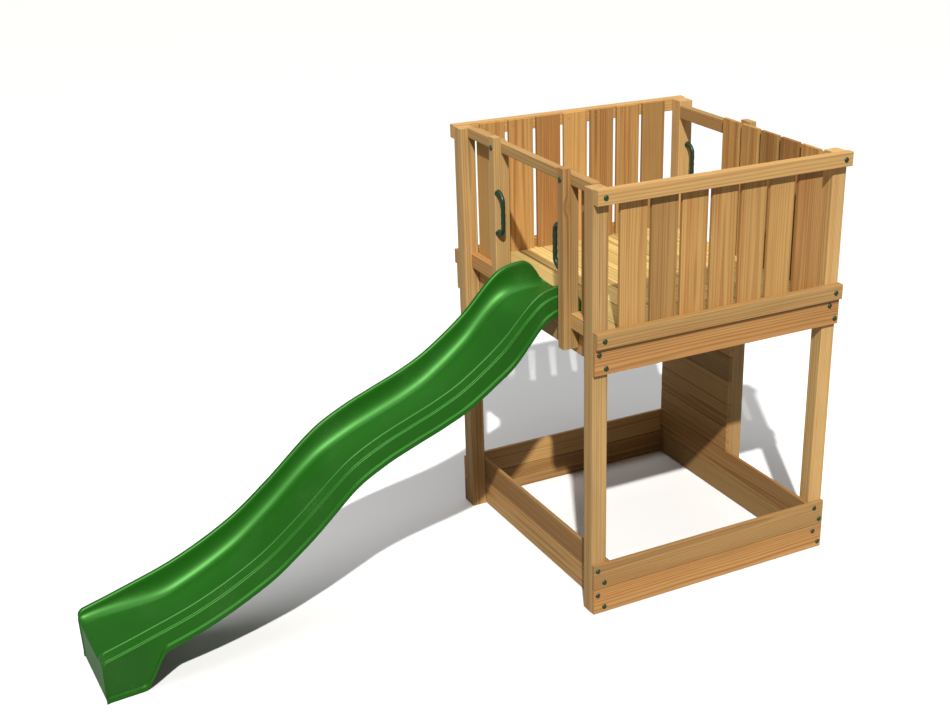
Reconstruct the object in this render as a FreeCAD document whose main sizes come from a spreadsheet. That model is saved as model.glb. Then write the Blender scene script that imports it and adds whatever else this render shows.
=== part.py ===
import FreeCAD, Part
import math
import os
import re

"""Timber play tower with a waved plastic slide, built as separate pieces.

Frame, in millimetres: +Z up, the ground at Z 0, the slide runs towards -Y.
The near guard wall is on +X, the far guard wall on -X and the climbing side on +Y.
The origin is at the middle of the whole footprint.
"""

SIZES = {
    # tower frame
    "tower_width": 1210.0,
    "tower_depth": 1215.0,
    "post_size": 70.0,
    "deck_height": 1235.0,
    "guard_height": 615.0,
    "post_drop": 5.0,
    "jamb_rise": 22.0,
    "jamb_drop": 110.0,
    "back_rail_drop": 24.0,
    "entry_post_drop": 8.0,
    # stock sections
    "board_thick": 18.0,
    "board_height": 116.0,
    "board_gap": 2.0,
    "ground_gap": 3.0,
    "deck_thick": 22.0,
    "deck_gap": 5.0,
    "rail_thick": 36.0,
    "top_rail_height": 60.0,
    "mid_rail_height": 66.0,
    "front_rail_height": 44.0,
    "joist_width": 45.0,
    "joist_height": 95.0,
    # infill boards
    "wall_board_gap": 19.6,
    "wall_end_gap": 51.7,
    "wall_board_drop": 6.0,
    # openings, measured from the outer face of the near posts
    "jamb_width": 47.0,
    "slide_opening_start": 278.0,
    "slide_opening_width": 544.0,
    "entry_post_start": 632.0,
    "entry_board_end": 765.0,
    # fasteners
    "screw_radius": 4.0,
    "screw_clearance": 0.3,
    "screw_grip": 48.0,
    "cap_radius": 11.0,
    "cap_height": 6.0,
    # grab handles
    "handle_length": 205.0,
    "handle_reach": 46.0,
    "handle_radius": 11.0,
    "handle_rise": 212.0,
    # slide
    "slide_reach": 1950.0,
    "slide_centre": 556.0,
    "slide_channel": 344.0,
    "slide_floor": 236.0,
    "slide_wall": 110.0,
    "slide_skirt": 116.0,
    "slide_skin": 6.0,
    "slide_ridge": 47.0,
    "slide_flange": 22.0,
    "slide_lip": 118.0,
    "foot_length": 148.0,
    "foot_sweep": 104.0,
    "foot_wall": 46.0,
}

DECK_BOARDS = 9
CLIMB_PLANKS = 7
SIDE_BOARDS = 7
ENTRY_BOARDS = 5
TAIL_STATIONS = 5
RUN_STATIONS = 24
FOOT_STATIONS = 14

# The slide's floor line: share of the reach out from the tower, share of the deck height.
FLOOR_LINE = [
    (-0.100, 1.005),
    (-0.036, 1.005),
    (0.000, 0.996),
    (0.023, 0.980),
    (0.048, 0.948),
    (0.110, 0.850),
    (0.200, 0.745),
    (0.262, 0.694),
    (0.330, 0.651),
    (0.391, 0.612),
    (0.453, 0.562),
    (0.495, 0.513),
    (0.582, 0.394),
    (0.669, 0.291),
    (0.790, 0.194),
    (0.913, 0.130),
    (1.000, 0.091),
]

FRONT = "((slide_reach - tower_depth) / 2)"
BACK = "((slide_reach + tower_depth) / 2)"
HALF = "(tower_width / 2)"
BEAM_TOP = "(deck_height - deck_thick)"
BEAM_LOW = "(deck_height - deck_thick - board_height)"
JAMB_LOW = "(deck_height - jamb_drop)"
RAIL_TOP = "(deck_height + guard_height)"
JAMB_TOP = "(deck_height + guard_height + jamb_rise)"
BACK_RAIL_TOP = "(deck_height + guard_height - back_rail_drop)"
ENTRY_TOP = "(deck_height + guard_height - entry_post_drop)"
HANDLE_LOW = "(deck_height + handle_rise)"
WALL_HEIGHT = "(guard_height - wall_board_drop)"


def fill_sheet(doc):
    """Write every size into the sheet as a plain number with an alias."""
    sheet = doc.addObject("Spreadsheet::Sheet", "Sizes")
    for row, (name, value) in enumerate(SIZES.items(), start=1):
        sheet.set(f"A{row}", name)
        sheet.set(f"B{row}", str(value))
        sheet.setAlias(f"B{row}", name)
    doc.recompute()
    return sheet


def bound(text):
    """Point every size name in an expression at the sheet."""
    return re.sub(r"[a-z][a-z_]+", lambda word: "Sizes." + word.group(0), str(text))


def size(sheet, name):
    """Read one size from the sheet."""
    return float(sheet.get(name))


def place(item, x, y, z):
    """Bind a piece's position to the sheet."""
    item.setExpression("Placement.Base.x", bound(x))
    item.setExpression("Placement.Base.y", bound(y))
    item.setExpression("Placement.Base.z", bound(z))


def box(doc, label, low, extent):
    """One rectangular piece from its low corner and its extent."""
    item = doc.addObject("Part::Box", "block")
    item.Label = label
    item.setExpression("Length", bound(extent[0]))
    item.setExpression("Width", bound(extent[1]))
    item.setExpression("Height", bound(extent[2]))
    place(item, *low)
    return item


def rod(doc, start, length, radius, direction):
    """One round rod that starts at a point and runs along a direction."""
    item = doc.addObject("Part::Cylinder", "rod")
    item.setExpression("Radius", bound(radius))
    item.setExpression("Height", bound(length))
    item.Placement.Rotation = FreeCAD.Rotation(FreeCAD.Vector(0, 0, 1), FreeCAD.Vector(*direction))
    place(item, *start)
    return item


def joined(doc, label, pieces):
    """Several separate solids that make one named piece."""
    item = doc.addObject("Part::Compound", "group")
    item.Label = label
    item.Links = pieces
    return item


def cut(doc, label, piece, tools):
    """One piece with material taken away."""
    item = doc.addObject("Part::Cut", "cut")
    item.Label = label
    item.Base = piece
    item.Tool = joined(doc, label + "_tools", tools) if len(tools) > 1 else tools[0]
    return item


def side_holes(doc, side, near_end, levels, depth, thick):
    """Screw holes along X through a side board, or into a post when thick is 0."""
    holes = []
    for along, level in levels:
        y = f"{FRONT} + {along}" if near_end else f"{BACK} - post_size + {along}"
        x = f"{side} * ({HALF} + {thick})"
        holes.append(rod(doc, (x, y, level), depth, "screw_radius + screw_clearance", (-side, 0, 0)))
    return holes


def board_levels(low):
    """Two screws set diagonally across the end of a board that starts at height low."""
    upper = ("20", f"{low} + board_height - 28")
    lower = ("52", f"{low} + 26")
    return [upper, lower]


def rail_level(low, height):
    """One screw in the middle of a rail's end."""
    return [("post_size / 2", f"{low} + {height} / 2")]


def side_rows():
    """Every board and rail outside the posts: name, foot height, height, thickness, screw places."""
    low = "ground_gap"
    high = "(ground_gap + board_height + board_gap)"
    top = f"({RAIL_TOP} - top_rail_height)"
    return [
        ("base_board_low", low, "board_height", "board_thick", board_levels(low)),
        ("base_board_high", high, "board_height", "board_thick", board_levels(high)),
        ("deck_beam", BEAM_LOW, "board_height", "board_thick", board_levels(BEAM_LOW)),
        ("mid_rail", BEAM_TOP, "mid_rail_height", "rail_thick", rail_level(BEAM_TOP, "mid_rail_height")),
        ("top_rail", top, "top_rail_height", "rail_thick", rail_level(top, "top_rail_height")),
    ]


def make_posts(doc):
    """Four corner posts, drilled for the screws of the side boards."""
    posts = []
    post_top = f"({RAIL_TOP} - post_drop)"
    for side, side_name in ((1, "near"), (-1, "far")):
        for near_end, end_name in ((True, "front"), (False, "back")):
            label = f"post_{end_name}_{side_name}"
            x = f"{HALF} - post_size" if side > 0 else f"-{HALF}"
            y = FRONT if near_end else f"{BACK} - post_size"
            block = box(doc, label + "_block", (x, y, "0"), ("post_size", "post_size", post_top))
            tools = []
            for row in side_rows():
                tools += side_holes(doc, side, near_end, row[4], "screw_grip + screw_clearance", "0")
            posts.append(cut(doc, label, block, tools))
    return posts


def make_side_boards(doc):
    """Base boards, deck beams and rails screwed to the outer faces of the posts."""
    pieces = []
    for side, side_name in ((1, "near"), (-1, "far")):
        for name, low, height, thick, levels in side_rows():
            label = f"{name}_{side_name}"
            x = HALF if side > 0 else f"-{HALF} - {thick}"
            block = box(doc, label + "_block", (x, FRONT, low), (thick, "tower_depth", height))
            tools = side_holes(doc, side, True, levels, thick, thick)
            tools += side_holes(doc, side, False, levels, thick, thick)
            pieces.append(cut(doc, label, block, tools))
    return pieces


def capped_screw(doc, face, length, direction):
    """A coach screw with its round plastic cap resting on a face."""
    shank = rod(doc, face, length, "screw_radius", direction)
    cap = doc.addObject("Part::Cone", "cap")
    cap.setExpression("Radius1", bound("cap_radius"))
    cap.setExpression("Radius2", bound("cap_radius * 0.62"))
    cap.setExpression("Height", bound("cap_height"))
    outward = FreeCAD.Vector(*direction) * -1
    cap.Placement.Rotation = FreeCAD.Rotation(FreeCAD.Vector(0, 0, 1), outward)
    place(cap, *face)
    screw = doc.addObject("Part::Fuse", "screw")
    screw.Base = cap
    screw.Tool = shank
    return screw


def make_side_screws(doc):
    """All the capped screws of one side wall, as one named piece per side."""
    groups = []
    for side, side_name in ((1, "near"), (-1, "far")):
        screws = []
        for row in side_rows():
            for near_end in (True, False):
                for along, level in row[4]:
                    y = f"{FRONT} + {along}" if near_end else f"{BACK} - post_size + {along}"
                    face = (f"{side} * ({HALF} + {row[3]})", y, level)
                    screws.append(capped_screw(doc, face, f"{row[3]} + screw_grip", (-side, 0, 0)))
        groups.append(joined(doc, f"capped_screws_{side_name}", screws))
    return groups


def make_cross_boards(doc):
    """Boards along X on the inner faces of the posts: two base boards and a deck beam each end."""
    high = "(ground_gap + board_height + board_gap)"
    rows = [("base_board_low", "ground_gap"), ("base_board_high", high), ("deck_beam", BEAM_LOW)]
    ends = [("front", f"{FRONT} + post_size"), ("back", f"{BACK} - post_size - board_thick")]
    pieces = []
    for end_name, y in ends:
        for name, low in rows:
            extent = ("tower_width", "board_thick", "board_height")
            pieces.append(box(doc, f"{name}_{end_name}", (f"-{HALF}", y, low), extent))
    return pieces


def make_deck(doc):
    """Three joists between the cross beams and the deck boards over them."""
    pieces = []
    span = "(tower_depth - 2 * post_size - 2 * board_thick)"
    for number, share in enumerate((-0.3, 0.0, 0.3), start=1):
        low = (f"{share} * tower_width - joist_width / 2", f"{FRONT} + post_size + board_thick",
               f"{BEAM_TOP} - joist_height")
        pieces.append(box(doc, f"joist_{number}", low, ("joist_width", span, "joist_height")))
    inner = "(tower_depth - 2 * post_size)"
    width = f"(({inner} - {DECK_BOARDS - 1} * deck_gap) / {DECK_BOARDS})"
    for number in range(DECK_BOARDS):
        y = f"{FRONT} + post_size + {number} * ({width} + deck_gap)"
        extent = ("tower_width", width, "deck_thick")
        pieces.append(box(doc, f"deck_board_{number + 1}", (f"-{HALF}", y, BEAM_TOP), extent))
    return pieces


def board_row(doc, label, corners, extent):
    """A row of equal boards as one named piece."""
    return joined(doc, label, [box(doc, "board", corner, extent) for corner in corners])


def make_side_walls(doc):
    """Upright boards between the posts of the near and far guard walls."""
    start = f"{FRONT} + post_size + wall_end_gap"
    room = "(tower_depth - 2 * post_size - 2 * wall_end_gap + wall_board_gap)"
    width = f"({room} / {SIDE_BOARDS} - wall_board_gap)"
    walls = []
    for side_name, x in (("near", f"{HALF} - board_thick"), ("far", f"-{HALF}")):
        corners = []
        for number in range(SIDE_BOARDS):
            corners.append((x, f"{start} + {number} * ({width} + wall_board_gap)", "deck_height"))
        extent = ("board_thick", width, WALL_HEIGHT)
        walls.append(board_row(doc, f"wall_boards_{side_name}", corners, extent))
    return walls


def make_front_wall(doc):
    """Upright boards beside the slide opening, behind the front rails: one near, two far."""
    y = f"{FRONT} + post_size"
    opening_end = "(slide_opening_start + slide_opening_width + jamb_width)"
    near_width = "(slide_opening_start - jamb_width - post_size - 2 * wall_board_gap)"
    near = (f"{HALF} - post_size - wall_board_gap - {near_width}", y, "deck_height")
    far_gap = "(wall_board_gap / 2)"
    far_width = f"((tower_width - post_size - {opening_end} - 3 * {far_gap}) / 2)"
    far = [(f"-{HALF} + post_size + {far_gap} + {number} * ({far_width} + {far_gap})", y, "deck_height")
           for number in range(2)]
    return [
        board_row(doc, "wall_board_front_near", [near], (near_width, "board_thick", WALL_HEIGHT)),
        board_row(doc, "wall_boards_front_far", far, (far_width, "board_thick", WALL_HEIGHT)),
    ]


def make_back_wall(doc):
    """Upright boards from the entry opening to the near post on the climbing side."""
    y = f"{BACK} - post_size - board_thick"
    spare = f"({ENTRY_BOARDS - 1} * wall_board_gap + wall_board_gap / 3)"
    width = f"((entry_board_end - post_size - {spare}) / {ENTRY_BOARDS})"
    corners = []
    for number in range(ENTRY_BOARDS):
        x = f"{HALF} - entry_board_end + {number} * ({width} + wall_board_gap)"
        corners.append((x, y, "deck_height"))
    extent = (width, "board_thick", WALL_HEIGHT)
    return [board_row(doc, "wall_boards_back", corners, extent)]


def make_end_rails(doc):
    """Rails between the posts on the slide side and on the climbing side."""
    front = f"{FRONT} + post_size - rail_thick"
    back = f"{BACK} - post_size"
    clear = "(tower_width - 2 * post_size)"
    left = f"-{HALF} + post_size"
    near_jamb = f"({HALF} - slide_opening_start + jamb_width)"
    far_jamb = f"({HALF} - slide_opening_start - slide_opening_width - jamb_width)"
    entry = f"({HALF} - entry_post_start)"
    rows = [
        ("top_rail_front", left, front, f"{RAIL_TOP} - front_rail_height", clear, "front_rail_height"),
        ("top_rail_back", left, back, f"{BACK_RAIL_TOP} - top_rail_height", clear, "top_rail_height"),
        ("mid_rail_front_near", near_jamb, front, BEAM_TOP, f"{HALF} - post_size - {near_jamb}",
         "mid_rail_height"),
        ("mid_rail_front_far", left, front, BEAM_TOP, f"{far_jamb} - ({left})", "mid_rail_height"),
        ("mid_rail_back", entry, back, BEAM_TOP, f"{HALF} - post_size - {entry}", "mid_rail_height"),
    ]
    pieces = []
    for label, x, y, z, length, height in rows:
        block = box(doc, label, (x, y, z), (length, "rail_thick", height))
        if label == "top_rail_front":
            block.Label = label + "_block"
            block = cut(doc, label, block, jamb_holes(doc))
        pieces.append(block)
    return pieces


def jamb_middles():
    """The X position of the middle of each jamb beside the slide."""
    near = f"({HALF} - slide_opening_start + jamb_width / 2)"
    far = f"({HALF} - slide_opening_start - slide_opening_width - jamb_width / 2)"
    return [("near", near), ("far", far)]


def jamb_holes(doc):
    """Holes along Y for the screw at the head of each jamb."""
    holes = []
    for name, x in jamb_middles():
        start = (x, FRONT, f"{RAIL_TOP} - front_rail_height / 2")
        depth = "post_size - rail_thick + 24 + screw_clearance"
        holes.append(rod(doc, start, depth, "screw_radius + screw_clearance", (0, 1, 0)))
    return holes


def make_jambs(doc):
    """Two short uprights beside the slide and the entry post, each notched for its rail."""
    pieces = []
    open_top = "5"
    for (name, x), hole in zip(jamb_middles(), jamb_holes(doc)):
        low = (f"{x} - jamb_width / 2", FRONT, JAMB_LOW)
        block = box(doc, "block", low, ("jamb_width", "post_size", f"{JAMB_TOP} - {JAMB_LOW}"))
        rail_back = f"{FRONT} + post_size - rail_thick"
        corner = (f"{x} - jamb_width / 2", rail_back, f"{RAIL_TOP} - front_rail_height")
        notch = ("jamb_width", "rail_thick", f"front_rail_height + jamb_rise + {open_top}")
        recess = cut(doc, f"jamb_{name}_block", block, [box(doc, "housing", corner, notch)])
        pieces.append(cut(doc, f"jamb_{name}", recess, [hole]))
    x = f"{HALF} - entry_post_start - post_size"
    block = box(doc, "block", (x, f"{BACK} - post_size", "0"), ("post_size", "post_size", ENTRY_TOP))
    corner = (x, f"{BACK} - post_size", f"{BACK_RAIL_TOP} - top_rail_height")
    notch = ("post_size", "rail_thick", f"top_rail_height + back_rail_drop + {open_top}")
    pieces.append(cut(doc, "post_entry", block, [box(doc, "housing", corner, notch)]))
    return pieces


def make_jamb_screws(doc):
    """The capped screw at the head of each jamb."""
    screws = []
    for name, x in jamb_middles():
        face = (x, FRONT, f"{RAIL_TOP} - front_rail_height / 2")
        screws.append(capped_screw(doc, face, "post_size - rail_thick + 24", (0, 1, 0)))
    return [joined(doc, "capped_screws_front", screws)]


def make_climbing_panel(doc):
    """Level planks below the entry opening, stacked on the base boards."""
    low = "(ground_gap + 2 * board_height + 2 * board_gap)"
    pitch = f"(({BEAM_LOW} - {low}) / {CLIMB_PLANKS})"
    x = f"-{HALF}"
    y = f"{BACK} - post_size - board_thick"
    extent = (f"{HALF} - entry_post_start + {HALF}", "board_thick", f"{pitch} - board_gap")
    corners = [(x, y, f"{low} + {number} * {pitch}") for number in range(CLIMB_PLANKS)]
    return [board_row(doc, "climbing_planks", corners, extent)]


def grab_handle(doc, sheet, label, foot, outward):
    """One bowed grab handle with a flat foot at each end, standing off an upright."""
    length = size(sheet, "handle_length")
    reach = size(sheet, "handle_reach")
    radius = size(sheet, "handle_radius")
    bend = reach * 0.75
    low = radius * 1.3
    high = length - radius * 1.3
    knee = (1 - math.sqrt(0.5)) * bend
    points = [(0, low), (reach - bend, low), (reach - knee, low + knee), (reach, low + bend),
              (reach, high - bend), (reach - knee, high - knee), (reach - bend, high), (0, high)]
    corner = [FreeCAD.Vector(0, out, up) for out, up in points]
    edges = [
        Part.makeLine(corner[0], corner[1]),
        Part.Arc(corner[1], corner[2], corner[3]).toShape(),
        Part.makeLine(corner[3], corner[4]),
        Part.Arc(corner[4], corner[5], corner[6]).toShape(),
        Part.makeLine(corner[6], corner[7]),
    ]
    ring = Part.Wire([Part.makeCircle(radius, corner[0], FreeCAD.Vector(0, 1, 0))])
    shape = Part.Wire(edges).makePipeShell([ring], True, True)
    for height in (low, high):
        base = FreeCAD.Vector(0, 0, height)
        shape = shape.fuse(Part.makeCylinder(radius * 1.3, radius * 0.45, base, FreeCAD.Vector(0, 1, 0)))
    item = doc.addObject("Part::Feature", label)
    item.Label = label
    item.Shape = shape.removeSplitter()
    item.Placement.Rotation = FreeCAD.Rotation(FreeCAD.Vector(0, 1, 0), FreeCAD.Vector(*outward))
    place(item, *foot)
    return item


def make_handles(doc, sheet):
    """A grab handle inside each slide jamb and one on the far back post."""
    y = f"{FRONT} + handle_radius * 1.3"
    near = f"{HALF} - slide_opening_start"
    far = f"{HALF} - slide_opening_start - slide_opening_width"
    back = (f"-{HALF} + post_size", f"{BACK} - post_size / 2 + 12", HANDLE_LOW)
    return [
        grab_handle(doc, sheet, "grab_handle_near", (near, y, HANDLE_LOW), (-1, 0, 0)),
        grab_handle(doc, sheet, "grab_handle_far", (far, y, HANDLE_LOW), (1, 0, 0)),
        grab_handle(doc, sheet, "grab_handle_entry", back, (1, 0, 0)),
    ]


def eased(points, at):
    """Read a line of points at one place, with a smooth curve through them."""
    last = len(points) - 1
    at = min(max(at, points[0][0]), points[last][0])
    index = 0
    while index < last - 1 and points[index + 1][0] < at:
        index += 1

    def slope(number):
        before = points[max(number - 1, 0)]
        after = points[min(number + 1, last)]
        return (after[1] - before[1]) / (after[0] - before[0])

    start = points[index]
    end = points[index + 1]
    step = end[0] - start[0]
    part = (at - start[0]) / step
    rise = part * part * (3 - 2 * part)
    lift = step * (slope(index) * part * (1 - part) ** 2 - slope(index + 1) * part * part * (1 - part))
    return start[1] + (end[1] - start[1]) * rise + lift


def slide_heights(sheet, out):
    """Floor, crest and skirt heights of the slide, and its side's depth, at a distance out."""
    reach = size(sheet, "slide_reach")
    deck = size(sheet, "deck_height")
    skin = size(sheet, "slide_skin")
    post = size(sheet, "post_size")
    line = eased(FLOOR_LINE, out / reach)
    line = max(line * deck, deck + skin) if out < -post else line * deck
    crest = line + size(sheet, "slide_wall")
    grade = (eased(FLOOR_LINE, out / reach + 0.02) - eased(FLOOR_LINE, out / reach - 0.02)) / 0.04
    depth = size(sheet, "slide_skirt") * math.hypot(1.0, grade * deck / reach)
    skirt = crest - depth
    level = min(max((out - 0.8 * reach) / (0.2 * reach), 0.0), 1.0)
    level = level * level * (3 - 2 * level)
    floor = line + (size(sheet, "slide_wall") - size(sheet, "foot_wall")) * level
    if out < -post:
        tail = min(1.0, (-out - post) / (size(sheet, "slide_lip") - 22))
        crest = floor + size(sheet, "slide_wall") * (1 - 0.84 * tail ** 2.2)
    if out < 0:
        rise = min(1.0, -out / (post - 12))
        skirt = skirt + (deck - skirt) * rise * rise * (3 - 2 * rise)
    back = (reach - out - size(sheet, "foot_length")) / size(sheet, "foot_sweep")
    back = min(max(back, 0.0), 1.0)
    skirt = skirt * back * back * (3 - 2 * back)
    return floor, crest, skirt, min(depth, crest - skirt)


def slide_outline(sheet, out):
    """The slide's cross-section at a distance out from the tower, as a closed ring of points."""
    floor, crest, skirt, depth = slide_heights(sheet, out)
    skin = size(sheet, "slide_skin")
    inner = size(sheet, "slide_channel") / 2
    flat = size(sheet, "slide_floor") / 2
    fine = min(1.0, (crest - floor) / 60)
    ridge = crest - min(size(sheet, "slide_ridge"), 0.31 * depth)
    flange = min(size(sheet, "slide_flange"), 0.2 * depth)
    wall = inner + 36 - 0.25 * max(0.0, ridge - skirt - 90)
    upper = [(0.0, floor)]
    for step in range(8):
        turn = math.radians(step * 90 / 7)
        across = flat + (inner - 4 - flat) * math.sin(turn)
        upper.append((across, floor + (crest - 12 * fine - floor) * (1 - math.cos(turn))))
    upper += [
        (inner - 2, crest - 5 * fine),
        (inner + 3, crest),
        (inner + 15, crest),
        (inner + 21, crest - 6 * fine),
        (inner + 24, ridge + 5 * fine),
        (inner + 33, ridge - 2 * fine),
        (wall, skirt + flange + 2 * fine),
        (wall + 8, skirt + flange),
        (wall + 8, skirt),
    ]
    lower = [
        (wall + 8 - skin, skirt),
        (wall + 8 - skin, skirt + 0.7 * flange),
        (wall - skin, skirt + 0.7 * flange + fine),
        (inner + 33 - skin, ridge - (2 + skin) * fine),
        (inner + 24 - skin, ridge - 2 * fine),
        (inner + 21 - skin, crest - skin - 3 * fine),
        (inner + 14 - skin / 2, crest - skin),
        (inner + 4 + skin / 2, crest - skin),
    ]
    for step in range(7, -1, -1):
        turn = math.radians(step * 90 / 7)
        across = flat + (inner + 3 - flat) * math.sin(turn)
        lower.append((across, floor - skin + (crest - 14 * fine - floor) * (1 - math.cos(turn))))
    lower.append((0.0, floor - skin))
    half = upper + lower
    mirrored = [(-across, height) for across, height in reversed(half[1:-1])]
    return half + mirrored


def ring(points, y):
    """A closed wire in the upright plane at Y."""
    corners = [FreeCAD.Vector(across, y, height) for across, height in points]
    return Part.makePolygon(corners + corners[:1])


def slide_stations(sheet):
    """Distances out from the tower where the slide's section is set."""
    reach = size(sheet, "slide_reach")
    post = size(sheet, "post_size")
    lip = size(sheet, "slide_lip")
    stations = [-(post + lip - 22), -(post + lip * 0.6), -(post + lip * 0.35), -(post + 15)]
    stations += [-(post - 10), -(post * 0.5), -12.0]
    foot = size(sheet, "foot_length") + size(sheet, "foot_sweep") + 40
    run = reach - foot
    stations += [run * number / RUN_STATIONS for number in range(1, RUN_STATIONS + 1)]
    stations += [run + foot * number / FOOT_STATIONS for number in range(1, FOOT_STATIONS + 1)]
    return stations


def make_slide(doc, sheet):
    """The waved slide as one moulding: channel, rolled flanges, front foot and top lip."""
    reach = size(sheet, "slide_reach")
    skin = size(sheet, "slide_skin")
    rings = [ring(slide_outline(sheet, out), -out) for out in slide_stations(sheet)]
    tail = Part.makeLoft(rings[:TAIL_STATIONS], True, True)
    run = Part.makeLoft(rings[TAIL_STATIONS - 1:-FOOT_STATIONS], True, False)
    foot = Part.makeLoft(rings[-FOOT_STATIONS - 1:], True, True)
    edge = slide_outline(sheet, reach)
    half = edge[:18]
    cover = half + [(-across, height) for across, height in half[:0:-1]]
    panel = Part.Face(ring(cover, -reach)).extrude(FreeCAD.Vector(0, skin, 0))
    lip = size(sheet, "slide_lip")
    deck = size(sheet, "deck_height")
    post = size(sheet, "post_size")
    width = size(sheet, "slide_channel") - 20
    tongue = Part.makeBox(width, lip - 20, skin, FreeCAD.Vector(-width / 2, post + 20, deck))
    shape = run.fuse([tail, foot, panel, tongue])
    holes = []
    for share in (-0.32, 0.0, 0.32):
        spot = FreeCAD.Vector(share * width, post + lip - 14, deck - 1)
        holes.append(Part.makeCylinder(size(sheet, "screw_radius") * 0.6 + 0.3, skin + 2, spot))
    item = doc.addObject("Part::Feature", "slide_chute")
    item.Label = "slide_chute"
    item.Shape = shape.cut(holes)
    place(item, f"{HALF} - slide_centre", FRONT, "0")
    return item


def make_slide_screws(doc):
    """Three screws that hold the slide's lip to the deck."""
    screws = []
    for share in (-0.32, 0.0, 0.32):
        x = f"{HALF} - slide_centre + ({share}) * (slide_channel - 20)"
        y = f"{FRONT} + post_size + slide_lip - 14"
        head = rod(doc, (x, y, "deck_height + slide_skin"), "2.5", "screw_radius * 1.4", (0, 0, 1))
        shank = rod(doc, (x, y, "deck_height"), "slide_skin", "screw_radius * 0.6", (0, 0, 1))
        screw = doc.addObject("Part::Fuse", "screw")
        screw.Base = head
        screw.Tool = shank
        screws.append(screw)
    return [joined(doc, "slide_screws", screws)]


def check(pieces):
    """Stop when a piece failed to build."""
    for item in pieces:
        if "Invalid" in item.State or "Error" in item.State:
            raise RuntimeError(f"{item.Label} did not build: {item.State}")
        shape = item.Shape
        if shape.isNull() or not shape.isValid() or not shape.Solids:
            raise RuntimeError(f"{item.Label} has no valid solid")


def main():
    """Build every piece and write one STEP file for each."""
    doc = FreeCAD.newDocument("play_tower_slide")
    sheet = fill_sheet(doc)
    pieces = make_posts(doc)
    pieces += make_side_boards(doc)
    pieces += make_side_screws(doc)
    pieces += make_cross_boards(doc)
    pieces += make_deck(doc)
    pieces += make_side_walls(doc)
    pieces += make_front_wall(doc)
    pieces += make_back_wall(doc)
    pieces += make_end_rails(doc)
    pieces += make_jambs(doc)
    pieces += make_jamb_screws(doc)
    pieces += make_climbing_panel(doc)
    pieces += make_handles(doc, sheet)
    pieces.append(make_slide(doc, sheet))
    pieces += make_slide_screws(doc)
    doc.recompute()
    check(pieces)
    os.makedirs("parts", exist_ok=True)
    for item in pieces:
        item.Shape.exportStep(f"parts/{item.Label}.step")
        print(item.Label, len(item.Shape.Solids), round(item.Shape.Volume / 1000.0, 1))


main()
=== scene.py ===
import logging
import math
from dataclasses import dataclass, field
from enum import Enum
from typing import Any, Callable, Iterable, Sequence

import bmesh
import bpy
from mathutils import Matrix, Vector

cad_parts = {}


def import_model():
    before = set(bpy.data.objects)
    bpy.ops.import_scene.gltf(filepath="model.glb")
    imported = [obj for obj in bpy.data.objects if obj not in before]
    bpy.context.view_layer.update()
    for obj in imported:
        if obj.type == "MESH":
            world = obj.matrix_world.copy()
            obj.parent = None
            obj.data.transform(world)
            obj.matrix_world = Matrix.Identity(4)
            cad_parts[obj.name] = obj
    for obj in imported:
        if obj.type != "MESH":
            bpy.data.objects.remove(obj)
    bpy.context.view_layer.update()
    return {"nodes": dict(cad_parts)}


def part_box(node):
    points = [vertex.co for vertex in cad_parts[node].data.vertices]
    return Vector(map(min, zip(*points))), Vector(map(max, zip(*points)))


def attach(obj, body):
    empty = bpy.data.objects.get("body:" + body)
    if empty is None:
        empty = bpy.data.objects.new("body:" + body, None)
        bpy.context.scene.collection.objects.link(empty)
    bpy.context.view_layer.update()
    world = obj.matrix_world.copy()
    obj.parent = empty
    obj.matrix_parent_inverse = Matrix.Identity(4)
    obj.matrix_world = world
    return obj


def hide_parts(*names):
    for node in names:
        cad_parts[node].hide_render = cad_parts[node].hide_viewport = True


LOG = logging.getLogger("play_tower")
BODY = "root"
Pair = tuple[float, float]
Colour = tuple[float, float, float, float]
KNOT_CELL = (0.12, 0.12, 0.42)
KNOT_COLOUR: Colour = (0.10, 0.035, 0.010, 1.0)
DUST_COLOUR: Colour = (0.45, 0.42, 0.34, 1.0)
STEEL_STAIN: Colour = (0.30, 0.27, 0.20, 1.0)
TONE_SHIFT = (31.7, 17.3, 53.9)
SECOND_DRAW = 7.13
THIRD_DRAW = 13.71
FIBRE_SCALE = (620.0, 620.0, 7.0)
STREAK_SCALE = (46.0, 46.0, 0.8)
PATCH_SCALE = (11.0, 11.0, 1.6)
SWAY_SCALE = (6.0, 6.0, 0.7)
KEY_COLOUR = (1.0, 0.985, 0.955)


class Axis(Enum):
    """The three directions of the tower's frame."""

    X = 0
    Y = 1
    Z = 2

    def unit(self) -> Vector:
        """A vector of length one along the axis."""
        made = Vector((0.0, 0.0, 0.0))
        made[self.value] = 1.0
        return made


class Facing(Enum):
    """The outward direction of a face that carries screw heads."""

    NEAR = (1.0, 0.0, 0.0)
    FAR = (-1.0, 0.0, 0.0)
    SLIDE = (0.0, -1.0, 0.0)
    CLIMB = (0.0, 1.0, 0.0)
    UP = (0.0, 0.0, 1.0)

    def turn(self) -> Vector:
        """Euler angles that point a head's own +Z outwards."""
        return Vector(Vector(self.value).to_track_quat("Z", "Y").to_euler())


class Slot(Enum):
    """The record's material slots."""

    POST = "post_wood"
    RAIL = "rail_wood"
    BOARD = "board_wood"
    INFILL = "infill_wood"
    DECK = "deck_wood"
    SLIDE = "slide_plastic"
    HANDLE = "handle_plastic"
    CAP = "cap_plastic"
    STEEL = "steel"


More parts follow.
